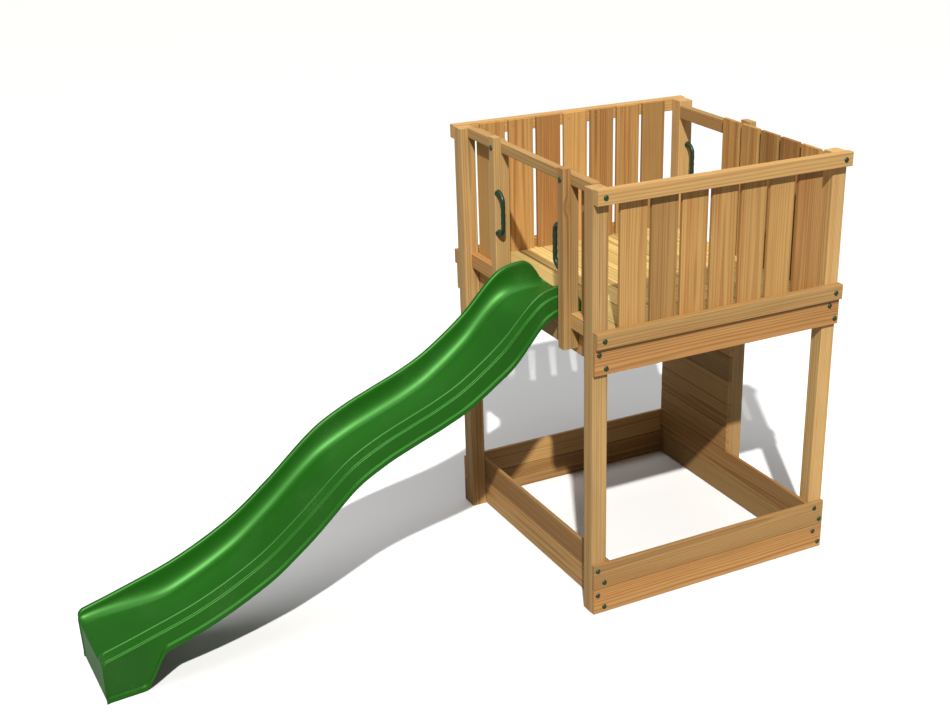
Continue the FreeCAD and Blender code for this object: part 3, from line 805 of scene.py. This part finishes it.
@dataclass
class Fasteners:
    """Capped screws of the frame and the small screws of the boards."""

    shop: Workshop
    cap_radius: float = 0.011
    cap_height: float = 0.006
    head_radius: float = 0.0032
    end_in: float = 0.020
    end_far_in: float = 0.052
    upper_drop: float = 0.028
    lower_rise: float = 0.026
    screw_inset: float = 0.026
    sides: int = 20
    head_sides: int = 12
    plank_levels: Pair = (0.25, 0.75)
    seed: int = 5
    recipe: HeadRecipe = field(default_factory=HeadRecipe)

    def cap(self) -> bpy.types.Object:
        """A domed cap with a thin rim and a shallow middle."""
        radius, height = self.cap_radius, self.cap_height
        shape = [(0.0, 0.86), (0.30, 0.88), (0.40, 1.0), (0.62, 0.94), (0.80, 0.76), (0.90, 0.50),
                 (0.93, 0.24), (1.0, 0.20), (1.0, 0.02), (0.97, 0.0), (0.0, 0.0)]
        return lathe("cap_pattern", [(share * radius, rise * height) for share, rise in shape], self.sides)

    def head(self) -> bpy.types.Object:
        """A countersunk head with a round recess."""
        radius = self.head_radius
        shape = [(0.0, -0.10), (0.34, -0.08), (0.42, 0.12), (0.90, 0.12), (1.0, 0.04), (1.0, -0.2),
                 (0.0, -0.2)]
        profile = [(share * radius, rise * radius) for share, rise in shape]
        return lathe("head_pattern", profile, self.head_sides)

    def set_heads(self, name: str, groups: Sequence[tuple[Facing, Sequence[Vector]]], head: bpy.types.Object,
                  slot: Slot, replaced: Sequence[str] = ()) -> bpy.types.Object:
        """Bake heads on several faces into one piece.

        Args:
            name: The piece's name.
            groups: Each face's direction and the places of its heads.
            head: The pattern of one head.
            slot: The material slot.
            replaced: The nodes of the frame that the piece replaces.

        Returns:
            The finished piece.
        """
        baked = []
        for number, (facing, points) in enumerate(groups):
            values = {"Head": head, "Turn": tuple(facing.turn()), "Seed": self.seed + number,
                      "Finish": self.shop.materials[slot]}
            baked.append(self.recipe.bake(f"{name}_{number}", points, values))
        build = bmesh.new()
        for item in baked:
            build.from_mesh(item.data)
            drop(item)
        piece = mesh_object(name, build, smooth=True)
        return self.shop.finish(piece, slot, replaced)

    def side_places(self, side: str) -> list[Vector]:
        """Where the capped screws of one side stand on its boards and rails."""
        outward = 1.0 if side == "near" else -1.0
        post_low, post_high = box_corners(f"post_front_{side}")
        post = post_high.y - post_low.y
        places = []
        for name in ("base_board_low", "base_board_high", "deck_beam", "mid_rail", "top_rail"):
            low, high = box_corners(f"{name}_{side}")
            face = high.x if outward > 0 else low.x
            middle = (low.z + high.z) / 2
            pairs = [(self.end_in, high.z - self.upper_drop), (self.end_far_in, low.z + self.lower_rise)]
            if "rail" in name:
                pairs = [(post / 2, middle)]
            for start in (low.y, high.y - post):
                places += [Vector((face, start + inward, level)) for inward, level in pairs]
        return places

    def jamb_places(self) -> list[Vector]:
        """Where the capped screws stand on the heads of the jambs."""
        places = []
        rail_low, rail_high = box_corners("top_rail_front")
        for side in ("near", "far"):
            low, high = box_corners(f"jamb_{side}")
            places.append(Vector(((low.x + high.x) / 2, low.y, (rail_low.z + rail_high.z) / 2)))
        return places

    def row_places(self, node: str, count: int, gap: float, along: Axis, face: float,
                   levels: Sequence[float]) -> list[Vector]:
        """Two screws across each board of a row at each level.

        Args:
            node: The node of the row.
            count: How many boards it has.
            gap: The gap between boards.
            along: The axis that the row runs along.
            face: The position of the face on the third axis.
            levels: Heights of the screws.

        Returns:
            The places of the screws.
        """
        low, high = box_corners(node)
        axis = along.value
        through = 1 - axis
        width = (high[axis] - low[axis] + gap) / count - gap
        places = []
        for number in range(count):
            start = low[axis] + number * (width + gap)
            for spot in (start + self.screw_inset, start + width - self.screw_inset):
                for level in levels:
                    place = Vector((0.0, 0.0, level))
                    place[axis] = spot
                    place[through] = face
                    places.append(place)
        return places

    def wall_screws(self, tower: Tower, head: bpy.types.Object) -> None:
        """Screws that hold the upright boards to their rails, seen from inside the tower."""
        levels = {}
        lower_rails = {"near": "mid_rail_near", "back": "mid_rail_back", "front": "mid_rail_front_far"}
        for side, lower in lower_rails.items():
            rails = (lower, f"top_rail_{side}")
            levels[side] = [(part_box(rail)[0][2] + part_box(rail)[1][2]) / 2 for rail in rails]
            levels[side][0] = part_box("deck_board_1")[1][2] + self.screw_inset
        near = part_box("wall_boards_near")[0][0]
        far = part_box("wall_boards_far")[1][0]
        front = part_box("wall_boards_front_far")[1][1]
        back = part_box("wall_boards_back")[0][1]
        rows = (
            (Facing.FAR, "wall_boards_near", tower.side_boards, tower.wall_gap, Axis.Y, near, "near"),
            (Facing.NEAR, "wall_boards_far", tower.side_boards, tower.wall_gap, Axis.Y, far, "near"),
            (Facing.CLIMB, "wall_boards_front_far", 2, tower.far_gap, Axis.X, front, "front"),
            (Facing.SLIDE, "wall_boards_back", tower.back_boards, tower.wall_gap, Axis.X, back, "back"),
        )
        groups = [(facing, self.row_places(node, count, gap, along, face, levels[side]))
                  for facing, node, count, gap, along, face, side in rows]
        groups[2][1].extend(self.row_places("wall_board_front_near", 1, 0.0, Axis.X, front, levels["front"]))
        self.set_heads("wall_board_screws", groups, head, Slot.STEEL)

    def deck_screws(self, tower: Tower, head: bpy.types.Object) -> None:
        """Two screws where each deck board crosses each joist."""
        points = []
        for number in range(tower.deck_boards):
            low, high = box_corners(f"deck_board_{number + 1}")
            for joist in (1, 2, 3):
                joist_low, joist_high = box_corners(f"joist_{joist}")
                middle = (joist_low.x + joist_high.x) / 2
                points += [Vector((middle, y, high.z))
                           for y in (low.y + self.screw_inset, high.y - self.screw_inset)]
        self.set_heads("deck_board_screws", [(Facing.UP, points)], head, Slot.STEEL)

    def panel_screws(self, tower: Tower, head: bpy.types.Object) -> None:
        """Screws through the ends of the climbing planks and the cross boards into the posts."""
        groups = []
        for end, facing, number in (("front", Facing.CLIMB, 1), ("back", Facing.SLIDE, 0)):
            places = []
            for name in ("base_board_low", "base_board_high", "deck_beam"):
                low, high = box_corners(f"{name}_{end}")
                face = (low, high)[number].y
                for x in (low.x + self.end_far_in, high.x - self.end_far_in):
                    places += [Vector((x, face, z))
                               for z in (low.z + self.lower_rise, high.z - self.upper_drop)]
            groups.append((facing, places))
        low, high = box_corners("climbing_planks")
        height = (high.z - low.z + tower.plank_gap) / tower.planks
        places = groups[1][1]
        for number in range(tower.planks):
            for x in (low.x + self.end_far_in, high.x - self.end_far_in):
                places += [Vector((x, low.y, low.z + number * height + share * height))
                           for share in self.plank_levels]
        self.set_heads("panel_and_base_screws", groups, head, Slot.STEEL)

    def build(self, tower: Tower) -> None:
        """Make every visible fastener of the tower."""
        cap = self.cap()
        for side, facing in (("near", Facing.NEAR), ("far", Facing.FAR)):
            node = f"capped_screws_{side}"
            self.set_heads(f"{node}_caps", [(facing, self.side_places(side))], cap, Slot.CAP, [node])
        self.set_heads("capped_screws_front_caps", [(Facing.SLIDE, self.jamb_places())], cap, Slot.CAP,
                       ["capped_screws_front"])
        drop(cap)
        head = self.head()
        self.wall_screws(tower, head)
        self.deck_screws(tower, head)
        self.panel_screws(tower, head)
        drop(head)


def eased(points: Sequence[Pair], at: float) -> float:
    """Read a line of points at one place, with a smooth curve through them.

    Args:
        points: Pairs in rising order of their first number.
        at: The place to read.

    Returns:
        The second number at that place.
    """
    last = len(points) - 1
    at = min(max(at, points[0][0]), points[last][0])
    index = 0
    while index < last - 1 and points[index + 1][0] < at:
        index += 1

    def slope(number: int) -> float:
        """The line's slope at one of its points."""
        before, after = points[max(number - 1, 0)], points[min(number + 1, last)]
        return (after[1] - before[1]) / (after[0] - before[0])

    start, end = points[index], points[index + 1]
    step = end[0] - start[0]
    part = (at - start[0]) / step
    rise = part * part * (3 - 2 * part)
    lift = step * (slope(index) * part * (1 - part) ** 2 - slope(index + 1) * part * part * (1 - part))
    return start[1] + (end[1] - start[1]) * rise + lift


def smooth_rise(share: float) -> float:
    """A smooth step of a share, held between 0 and 1."""
    share = min(max(share, 0.0), 1.0)
    return share * share * (3 - 2 * share)


def rounded(corners: Sequence[tuple[float, float, float]], steps: int) -> list[Pair]:
    """Round each corner of an open line.

    Args:
        corners: Each corner's two coordinates and its rounding. A rounding of 0 keeps the corner.
        steps: How many points stand for a rounded corner, less one.

    Returns:
        The rounded line.
    """
    made: list[Pair] = []
    for number, (x, z, radius) in enumerate(corners):
        if radius <= 0 or number in (0, len(corners) - 1):
            made.append((x, z))
            continue
        here = Vector((x, z))
        before = Vector(corners[number - 1][:2]) - here
        after = Vector(corners[number + 1][:2]) - here
        reach = min(radius, 0.45 * before.length, 0.45 * after.length)
        start, end = here + before.normalized() * reach, here + after.normalized() * reach
        for step in range(steps + 1):
            part = step / steps
            point = start * (1 - part) ** 2 + here * (2 * part * (1 - part)) + end * part ** 2
            made.append((point.x, point.y))
    return made


@dataclass
class SlideChute:
    """The waved slide: one moulding with a channel, stepped flanges, a foot and a lip.

    Each pair of line is a place on the floor: its distance out from the tower as a share of the slide's
    reach, and its height as a share of the deck's.
    """

    shop: Workshop
    node: str = "slide_chute"
    channel: float = 0.344
    flat: float = 0.236
    wall: float = 0.110
    skirt: float = 0.116
    skin: float = 0.006
    ridge: float = 0.047
    flange: float = 0.022
    lip: float = 0.118
    foot_length: float = 0.148
    foot_sweep: float = 0.104
    foot_wall: float = 0.046
    spacing: float = 0.013
    bend_steps: int = 14
    corner_steps: int = 5
    edge_round: float = 0.001
    nose: float = 0.024
    panel_recess: float = 0.004
    bend_in: float = 0.004
    crest_width: float = 0.017
    shoulder: float = 0.023
    ridge_out: float = 0.0325
    wall_out: float = 0.036
    hem: float = 0.008
    wall_lean: float = 0.25
    straight_wall: float = 0.090
    full_wall: float = 0.060
    ridge_share: float = 0.31
    flange_share: float = 0.2
    foot_from: float = 0.8
    foot_rise: float = 0.2
    grade_span: float = 0.02
    lip_end: float = 0.022
    lip_slim: float = 0.24
    lip_fall: float = 0.84
    lip_power: float = 2.2
    smooth_under: float = 50.0
    line: tuple[Pair, ...] = (
        (-0.100, 1.005), (-0.036, 1.005), (0.000, 0.996), (0.023, 0.980), (0.048, 0.948), (0.110, 0.850),
        (0.200, 0.745), (0.262, 0.694), (0.330, 0.651), (0.391, 0.612), (0.453, 0.562), (0.495, 0.513),
        (0.582, 0.394), (0.669, 0.291), (0.790, 0.194), (0.913, 0.130), (1.000, 0.091),
    )

    def __post_init__(self) -> None:
        """Read the slide's place from the frame."""
        low, high = box_corners(self.node)
        post_low, post_high = box_corners("post_front_near")
        self.front = post_low.y
        self.post = post_high.y - post_low.y
        self.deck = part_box("deck_board_1")[1][2]
        self.middle = (low.x + high.x) / 2
        self.reach = self.front - low.y
        self.tail = high.y - self.front

    def heights(self, out: float) -> tuple[float, float, float, float]:
        """Floor, crest and skirt heights, and the side's depth, at a distance out from the tower's face."""
        line = eased(self.line, out / self.reach)
        line = max(line * self.deck, self.deck + self.skin) if out < -self.post else line * self.deck
        crest = line + self.wall
        ahead, behind = (eased(self.line, out / self.reach + side * self.grade_span) for side in (1, -1))
        grade = (ahead - behind) / (2 * self.grade_span)
        depth = self.skirt * math.hypot(1.0, grade * self.deck / self.reach)
        skirt = crest - depth
        level = smooth_rise((out / self.reach - self.foot_from) / self.foot_rise)
        floor = line + (self.wall - self.foot_wall) * level
        if out < -self.post:
            tail = min(1.0, (-out - self.post) / (self.lip - self.lip_end))
            crest = floor + self.wall * (1 - self.lip_fall * tail ** self.lip_power)
        if out < 0:
            skirt += (self.deck - skirt) * smooth_rise(-out / (self.post - 0.012))
        skirt *= smooth_rise((self.reach - out - self.foot_length) / self.foot_sweep)
        crest += (floor + 0.001 - crest) * self.closing(out)
        over = min(1.0, max(0.0, (out - self.reach + self.nose) / self.nose))
        drop = self.nose * (1.0 - math.sqrt(1.0 - 0.96 * over * over))
        return floor - drop * 0.25, crest - drop, skirt, min(depth, crest - skirt)

    def closing(self, out: float) -> float:
        """How far the lip is drawn together at a distance out, from 0 to 1 at its end."""
        return smooth_rise((-out - self.post - self.lip + self.lip_end) / self.lip_end)

    def side(self, crest: float, skirt: float, depth: float) -> tuple[float, float, float]:
        """The outer wall: the ridge's height, the flange's height above the edge and the wall's place."""
        ridge = crest - min(self.ridge, self.ridge_share * depth)
        flange = min(self.flange, self.flange_share * depth)
        lean = self.wall_lean * max(0.0, ridge - skirt - self.straight_wall)
        return ridge, flange, self.channel / 2 + self.wall_out - lean

    def trough(self, edge: float, floor: float, rise: float) -> list[Pair]:
        """The bend from the floor's flat part up to the channel's wall.

        Args:
            edge: How far from the middle the bend ends.
            floor: The height that it starts at.
            rise: How far it climbs.

        Returns:
            The bend's points, from the floor up.
        """
        flat = self.flat / 2
        turns = [math.radians(90 * step / (self.bend_steps - 1)) for step in range(self.bend_steps)]
        return [(flat + (edge - flat) * math.sin(turn), floor + rise * (1 - math.cos(turn)))
                for turn in turns]

    def upper(self, out: float) -> list[Pair]:
        """The upper side of half a section, from the middle of the floor to the flange's edge."""
        floor, crest, skirt, depth = self.heights(out)
        inner = self.channel / 2
        fine = min(1.0, (crest - floor) / self.full_wall)
        ridge, flange, wall = self.side(crest, skirt, depth)
        top = crest - 0.012 * fine
        edge = inner - self.bend_in
        points = [(0.0, floor), (self.flat / 4, floor)] + self.trough(edge, floor, top - floor)
        corners = [
            (edge, top, 0.0), (inner + 0.001, crest, 0.006), (inner + self.crest_width, crest, 0.006),
            (inner + self.shoulder, ridge + 0.001 * fine, 0.003),
            (inner + self.ridge_out, ridge - 0.001 * fine, 0.004),
            (wall, skirt + flange + 0.002 * fine, 0.003), (wall + self.hem, skirt + flange, 0.0035),
            (wall + self.hem, skirt, 0.0),
        ]
        return points + rounded(corners, self.corner_steps)[1:]

    def lower(self, out: float) -> list[Pair]:
        """The under side of half a section, from the flange's foot to the middle of the floor."""
        floor, crest, skirt, depth = self.heights(out)
        inner, skin, under = self.channel / 2, self.skin, floor - self.skin
        fine = min(1.0, (crest - floor) / self.full_wall)
        ridge, flange, wall = self.side(crest, skirt, depth)
        top = crest - 0.014 * fine
        step = skirt + 0.7 * flange
        corners = [
            (wall + self.hem - skin, skirt, 0.0), (wall + self.hem - skin, step, 0.002),
            (wall - skin, step + 0.001 * fine, 0.002),
            (inner + self.ridge_out - skin, ridge - (0.001 + skin) * fine, 0.004),
            (inner + self.shoulder - skin, ridge - 0.004 * fine, 0.004),
            (inner + self.crest_width - skin / 2, crest - skin, 0.004),
            (inner + 0.004, crest - skin, 0.003), (inner + 0.003, top - 0.001 * fine, 0.0),
        ]
        bend = self.trough(inner + 0.003, under, top - floor)
        return rounded(corners, self.corner_steps)[:-1] + bend[::-1] + [(self.flat / 4, under), (0.0, under)]

    def section(self, out: float, inset: float) -> list[Vector]:
        """A closed ring of points in space.

        Args:
            out: The distance out from the tower's face.
            inset: How far the ring is drawn in, to round the moulding's ends.

        Returns:
            The ring's points.
        """
        half = self.upper(out) + self.lower(out)
        ring = half + [(-across, height) for across, height in reversed(half[1:-1])]
        narrow = 1.0 - self.lip_slim * self.closing(out)
        points = []
        for number, (across, height) in enumerate(ring):
            before, after = Vector(ring[number - 1]), Vector(ring[(number + 1) % len(ring)])
            run = (after - before).normalized()
            inward = Vector((run.y, -run.x)) * inset
            sideways = self.middle + (across + inward.x) * narrow
            points.append(Vector((sideways, self.front - out, height + inward.y)))
        return points

    def stations(self) -> list[Pair]:
        """Distances out from the tower, each with its inset."""
        start, end = -self.tail, self.reach
        count = math.ceil((end - start) / self.spacing)
        edge = self.edge_round
        inner = [start + edge + (end - start - 2 * edge) * number / count for number in range(count + 1)]
        ends_in = [(start, edge * 0.8), (start + edge * 0.4, edge * 0.25)]
        ends_out = [(end - edge * 0.4, edge * 0.25), (end, edge * 0.8)]
        rounding = [end - edge - self.nose * share for share in (0.75, 0.5, 0.33, 0.2, 0.1, 0.04)]
        inner = sorted([out for out in inner if out < rounding[0] - 0.003] + rounding + [end - edge])
        return ends_in + [(out, 0.0) for out in inner] + ends_out

    def panel(self, build: bmesh.types.BMesh) -> None:
        """The front panel that closes the foot, set back a little from the moulding's end."""
        floor, crest, skirt, depth = self.heights(self.reach)
        ridge, flange, wall = self.side(crest, skirt, depth)
        inner, deep = self.channel / 2, self.skin / 2
        top = crest - 0.014
        outline = [(wall + self.hem - deep, skirt), (wall + self.hem - deep, flange),
                   (wall - deep, flange + 0.002), (inner + self.ridge_out - deep, ridge - deep),
                   (inner + 0.021 - deep, ridge),
                   (inner + self.crest_width - deep, crest - deep), (inner + 0.002, crest - deep)]
        outline += self.trough(inner, floor - deep, top - floor)[::-1]
        outline += [(-across, height) for across, height in reversed(outline)]
        y = self.front - self.reach + self.panel_recess
        points = [(self.middle + across, y, height) for across, height in outline]
        add_plate(build, points, (0.0, self.skin, 0.0))

    def build(self) -> bpy.types.Object:
        """Loft the sections, close both ends and add the front panel."""
        build = bmesh.new()
        rings = [[build.verts.new(point) for point in self.section(out, inset)]
                 for out, inset in self.stations()]
        join_rings(build, rings)
        build.faces.new(rings[0])
        build.faces.new(rings[-1])
        self.panel(build)
        piece = mesh_object("slide_chute_moulding", build, smooth=True)
        piece.data.set_sharp_from_angle(angle=math.radians(self.smooth_under))
        return self.shop.finish(piece, Slot.SLIDE, [self.node])


@dataclass
class GrabHandle:
    """A moulded grip with finger waves between two round feet."""

    shop: Workshop
    node: str
    outward: float
    grip: float = 0.0115
    foot: float = 0.0150
    waves: int = 4
    wave_depth: float = 0.0006
    wave_span: float = 0.72
    wave_from: float = 0.14
    wave_fade: float = 0.08
    flare: float = 0.0035
    flare_length: float = 0.10
    bend_share: float = 0.78
    slim: float = 0.93
    oval: float = 0.92
    sides: int = 20
    foot_sides: int = 24
    bend_steps: int = 8
    bar_steps: int = 24
    smooth_under: float = 55.0

    def __post_init__(self) -> None:
        """Read the handle's place from the frame."""
        self.low, self.high = box_corners(self.node)
        self.base = self.low.x if self.outward > 0 else self.high.x
        self.reach = self.high.x - self.low.x
        self.middle = (self.low.y + self.high.y) / 2

    def path(self) -> list[tuple[Vector, float]]:
        """Points along the bar, each with the share of the way that it stands at."""
        bar = self.reach - self.grip
        bend = bar * self.bend_share
        bottom, top = self.low.z + self.foot, self.high.z - self.foot
        points = [Vector((0.0, bottom)), Vector((bar - bend, bottom))]
        for step in range(1, self.bend_steps + 1):
            turn = math.radians(90 * step / self.bend_steps)
            points.append(Vector((bar - bend + bend * math.sin(turn), bottom + bend * (1 - math.cos(turn)))))
        straight = top - bottom - 2 * bend
        middle = [Vector((bar, bottom + bend + straight * step / self.bar_steps))
                  for step in range(1, self.bar_steps)]
        upper = [Vector((point.x, top + bottom - point.y)) for point in reversed(points)]
        route = points + middle + upper
        total = len(route) - 1
        return [(point, number / total) for number, point in enumerate(route)]

    def thickness(self, share: float) -> float:
        """The bar's radius, thicker at the feet and waved along the grip."""
        end = min(share, 1 - share)
        flare = self.flare * (1 - smooth_rise(end / self.flare_length))
        wave = self.wave_depth * math.cos((share - 0.5) * math.tau * self.waves / self.wave_span)
        return self.grip * self.slim + flare + wave * smooth_rise((end - self.wave_from) / self.wave_fade)

    def build(self) -> bpy.types.Object:
        """Sweep the bar and add its feet."""
        build = bmesh.new()
        route = self.path()
        rings = []
        for number, (point, share) in enumerate(route):
            before, after = route[max(number - 1, 0)][0], route[min(number + 1, len(route) - 1)][0]
            run = (after - before).normalized()
            across = Vector((run.y, -run.x))
            radius = self.thickness(share)
            ring = []
            for side in range(self.sides):
                turn = math.tau * side / self.sides
                spot = point + across * (radius * math.cos(turn))
                ring.append(build.verts.new((self.base + self.outward * spot.x,
                                             self.middle + radius * self.oval * math.sin(turn), spot.y)))
            rings.append(ring)
        join_rings(build, rings)
        build.faces.new(rings[0])
        build.faces.new(rings[-1])
        profile = [(0.0, 0.0050), (0.80, 0.0050), (0.95, 0.0042), (1.0, 0.0028), (1.0, 0.0), (0.0, 0.0)]
        scaled = [(share * self.foot, rise) for share, rise in profile]
        flange = lathe("foot_pattern", scaled, self.foot_sides)
        aim = Vector((self.outward, 0.0, 0.0)).to_track_quat("Z", "Y").to_matrix().to_4x4()
        for height in (self.low.z + self.foot, self.high.z - self.foot):
            copy = flange.data.copy()
            copy.transform(Matrix.Translation((self.base, self.middle, height)) @ aim)
            build.from_mesh(copy)
        drop(flange)
        piece = mesh_object(f"{self.node}_grip", build, smooth=True)
        piece.data.set_sharp_from_angle(angle=math.radians(self.smooth_under))
        return self.shop.finish(piece, Slot.HANDLE, [self.node])


@dataclass(frozen=True)
class Studio:
    """The pale floor, the lights and the camera."""

    floor_size: float = 120.0
    floor_tone: float = 0.90
    floor_bounce: float = 0.35
    sky: float = 0.17
    backdrop: float = 1.0
    sun_from: tuple[float, float, float] = (0.90, -0.46, 1.0)
    sun_power: float = 4.2
    sun_softness: float = 1.2
    soft_power: float = 270.0
    soft_size: float = 6.0
    soft_height: float = 7.0
    eye: tuple[float, float, float] = (5.161, -2.3165, 3.292)
    azimuth: float = 60.03
    elevation: float = 24.95
    lens: float = 54.91
    shift: Pair = (-0.1106, 0.0802)

    def floor(self) -> None:
        """A plain pale floor that the tower stands on."""
        build = bmesh.new()
        bmesh.ops.create_grid(build, x_segments=1, y_segments=1, size=self.floor_size / 2)
        ground = mesh_object("studio_floor", build, smooth=False)
        made, graph, shader = new_material("studio_floor")
        seen = graph.node("ShaderNodeLightPath").outputs["Is Camera Ray"]
        bounce, tone = ((share, share, share, 1.0) for share in (self.floor_bounce, self.floor_tone))
        graph.feed(shader.inputs["Base Color"], graph.blend(seen, bounce, tone))
        shader.inputs["Roughness"].default_value = 0.9
        shader.inputs["Specular IOR Level"].default_value = 0.0
        ground.data.materials.append(made)

    def lights(self) -> None:
        """A soft key light like a low sun, a broad light overhead and an even surround."""
        world = bpy.data.worlds.new("studio")
        world.use_nodes = True
        surround = world.node_tree.nodes["Background"]
        surround.inputs["Color"].default_value = (1.0, 1.0, 1.0, 1.0)
        graph = Graph(world.node_tree)
        seen = graph.node("ShaderNodeLightPath").outputs["Is Camera Ray"]
        graph.feed(surround.inputs["Strength"], graph.span(seen, self.sky, self.backdrop))
        bpy.context.scene.world = world
        key = bpy.data.lights.new("key", "SUN")
        key.energy = self.sun_power
        key.angle = math.radians(self.sun_softness)
        key.color = KEY_COLOUR
        lamp = bpy.data.objects.new("key", key)
        lamp.rotation_euler = Vector(self.sun_from).to_track_quat("Z", "Y").to_euler()
        bpy.context.scene.collection.objects.link(lamp)
        soft = bpy.data.lights.new("overhead", "AREA")
        soft.energy = self.soft_power
        soft.size = self.soft_size
        panel = bpy.data.objects.new("overhead", soft)
        panel.location = (0.0, 0.0, self.soft_height)
        bpy.context.scene.collection.objects.link(panel)

    def camera(self) -> None:
        """A camera that looks down on the slide's near side."""
        data = bpy.data.cameras.new("view")
        data.sensor_width = 36.0
        data.lens = self.lens
        data.shift_x, data.shift_y = self.shift
        data.clip_end = 200.0
        lens = bpy.data.objects.new("view", data)
        turn, rise = math.radians(self.azimuth), math.radians(self.elevation)
        back = Vector((math.sin(turn) * math.cos(rise), -math.cos(turn) * math.cos(rise), math.sin(rise)))
        lens.location = self.eye
        lens.rotation_euler = back.to_track_quat("Z", "Y").to_euler()
        bpy.context.scene.collection.objects.link(lens)
        bpy.context.scene.camera = lens

    def build(self) -> None:
        """Set up the whole studio."""
        self.floor()
        self.lights()
        self.camera()
        bpy.context.scene.view_settings.view_transform = "Standard"


FINISHES = (
    TimberFinish(Slot.POST, pale=(0.50, 0.315, 0.120, 1.0), warm=(0.43, 0.210, 0.062, 1.0)),
    TimberFinish(Slot.RAIL, pale=(0.46, 0.275, 0.098, 1.0)),
    TimberFinish(Slot.BOARD, pale=(0.46, 0.270, 0.095, 1.0)),
    TimberFinish(Slot.INFILL, pale=(0.44, 0.250, 0.080, 1.0), warm=(0.36, 0.150, 0.040, 1.0)),
    # Painted light: the deck finish is paler and yellower than the other timber, so that it stands in for
    # sunlight falling on the deck's top faces.
    TimberFinish(Slot.DECK, pale=(0.62, 0.450, 0.160, 1.0), deep=(0.33, 0.190, 0.055, 1.0),
                 warm=(0.50, 0.320, 0.100, 1.0)),
    PlasticFinish(Slot.SLIDE, (0.007, 0.070, 0.003, 1.0), (0.012, 0.092, 0.006, 1.0), roughness=0.44,
                  tint=(0.34, 1.0, 0.26, 1.0), shine=0.9),
    PlasticFinish(Slot.HANDLE, (0.005, 0.026, 0.008, 1.0), (0.010, 0.045, 0.014, 1.0), roughness=0.36),
    PlasticFinish(Slot.CAP, (0.010, 0.034, 0.012, 1.0), (0.018, 0.055, 0.022, 1.0), roughness=0.45),
    SteelFinish(),
)


def main() -> None:
    """Build the tower and its slide around the frame."""
    logging.basicConfig(level=logging.INFO, format="%(message)s")
    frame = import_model()
    shop = Workshop(FINISHES)
    tower = Tower(shop)
    tower.build()
    Fasteners(shop).build(tower)
    SlideChute(shop).build()
    for node, outward in (("grab_handle_near", -1.0), ("grab_handle_far", 1.0), ("grab_handle_entry", 1.0)):
        GrabHandle(shop, node, outward).build()
    shop.dress_node(frame["nodes"]["slide_screws"], Slot.STEEL)
    Studio().build()


if __name__ == "__main__":
    main()
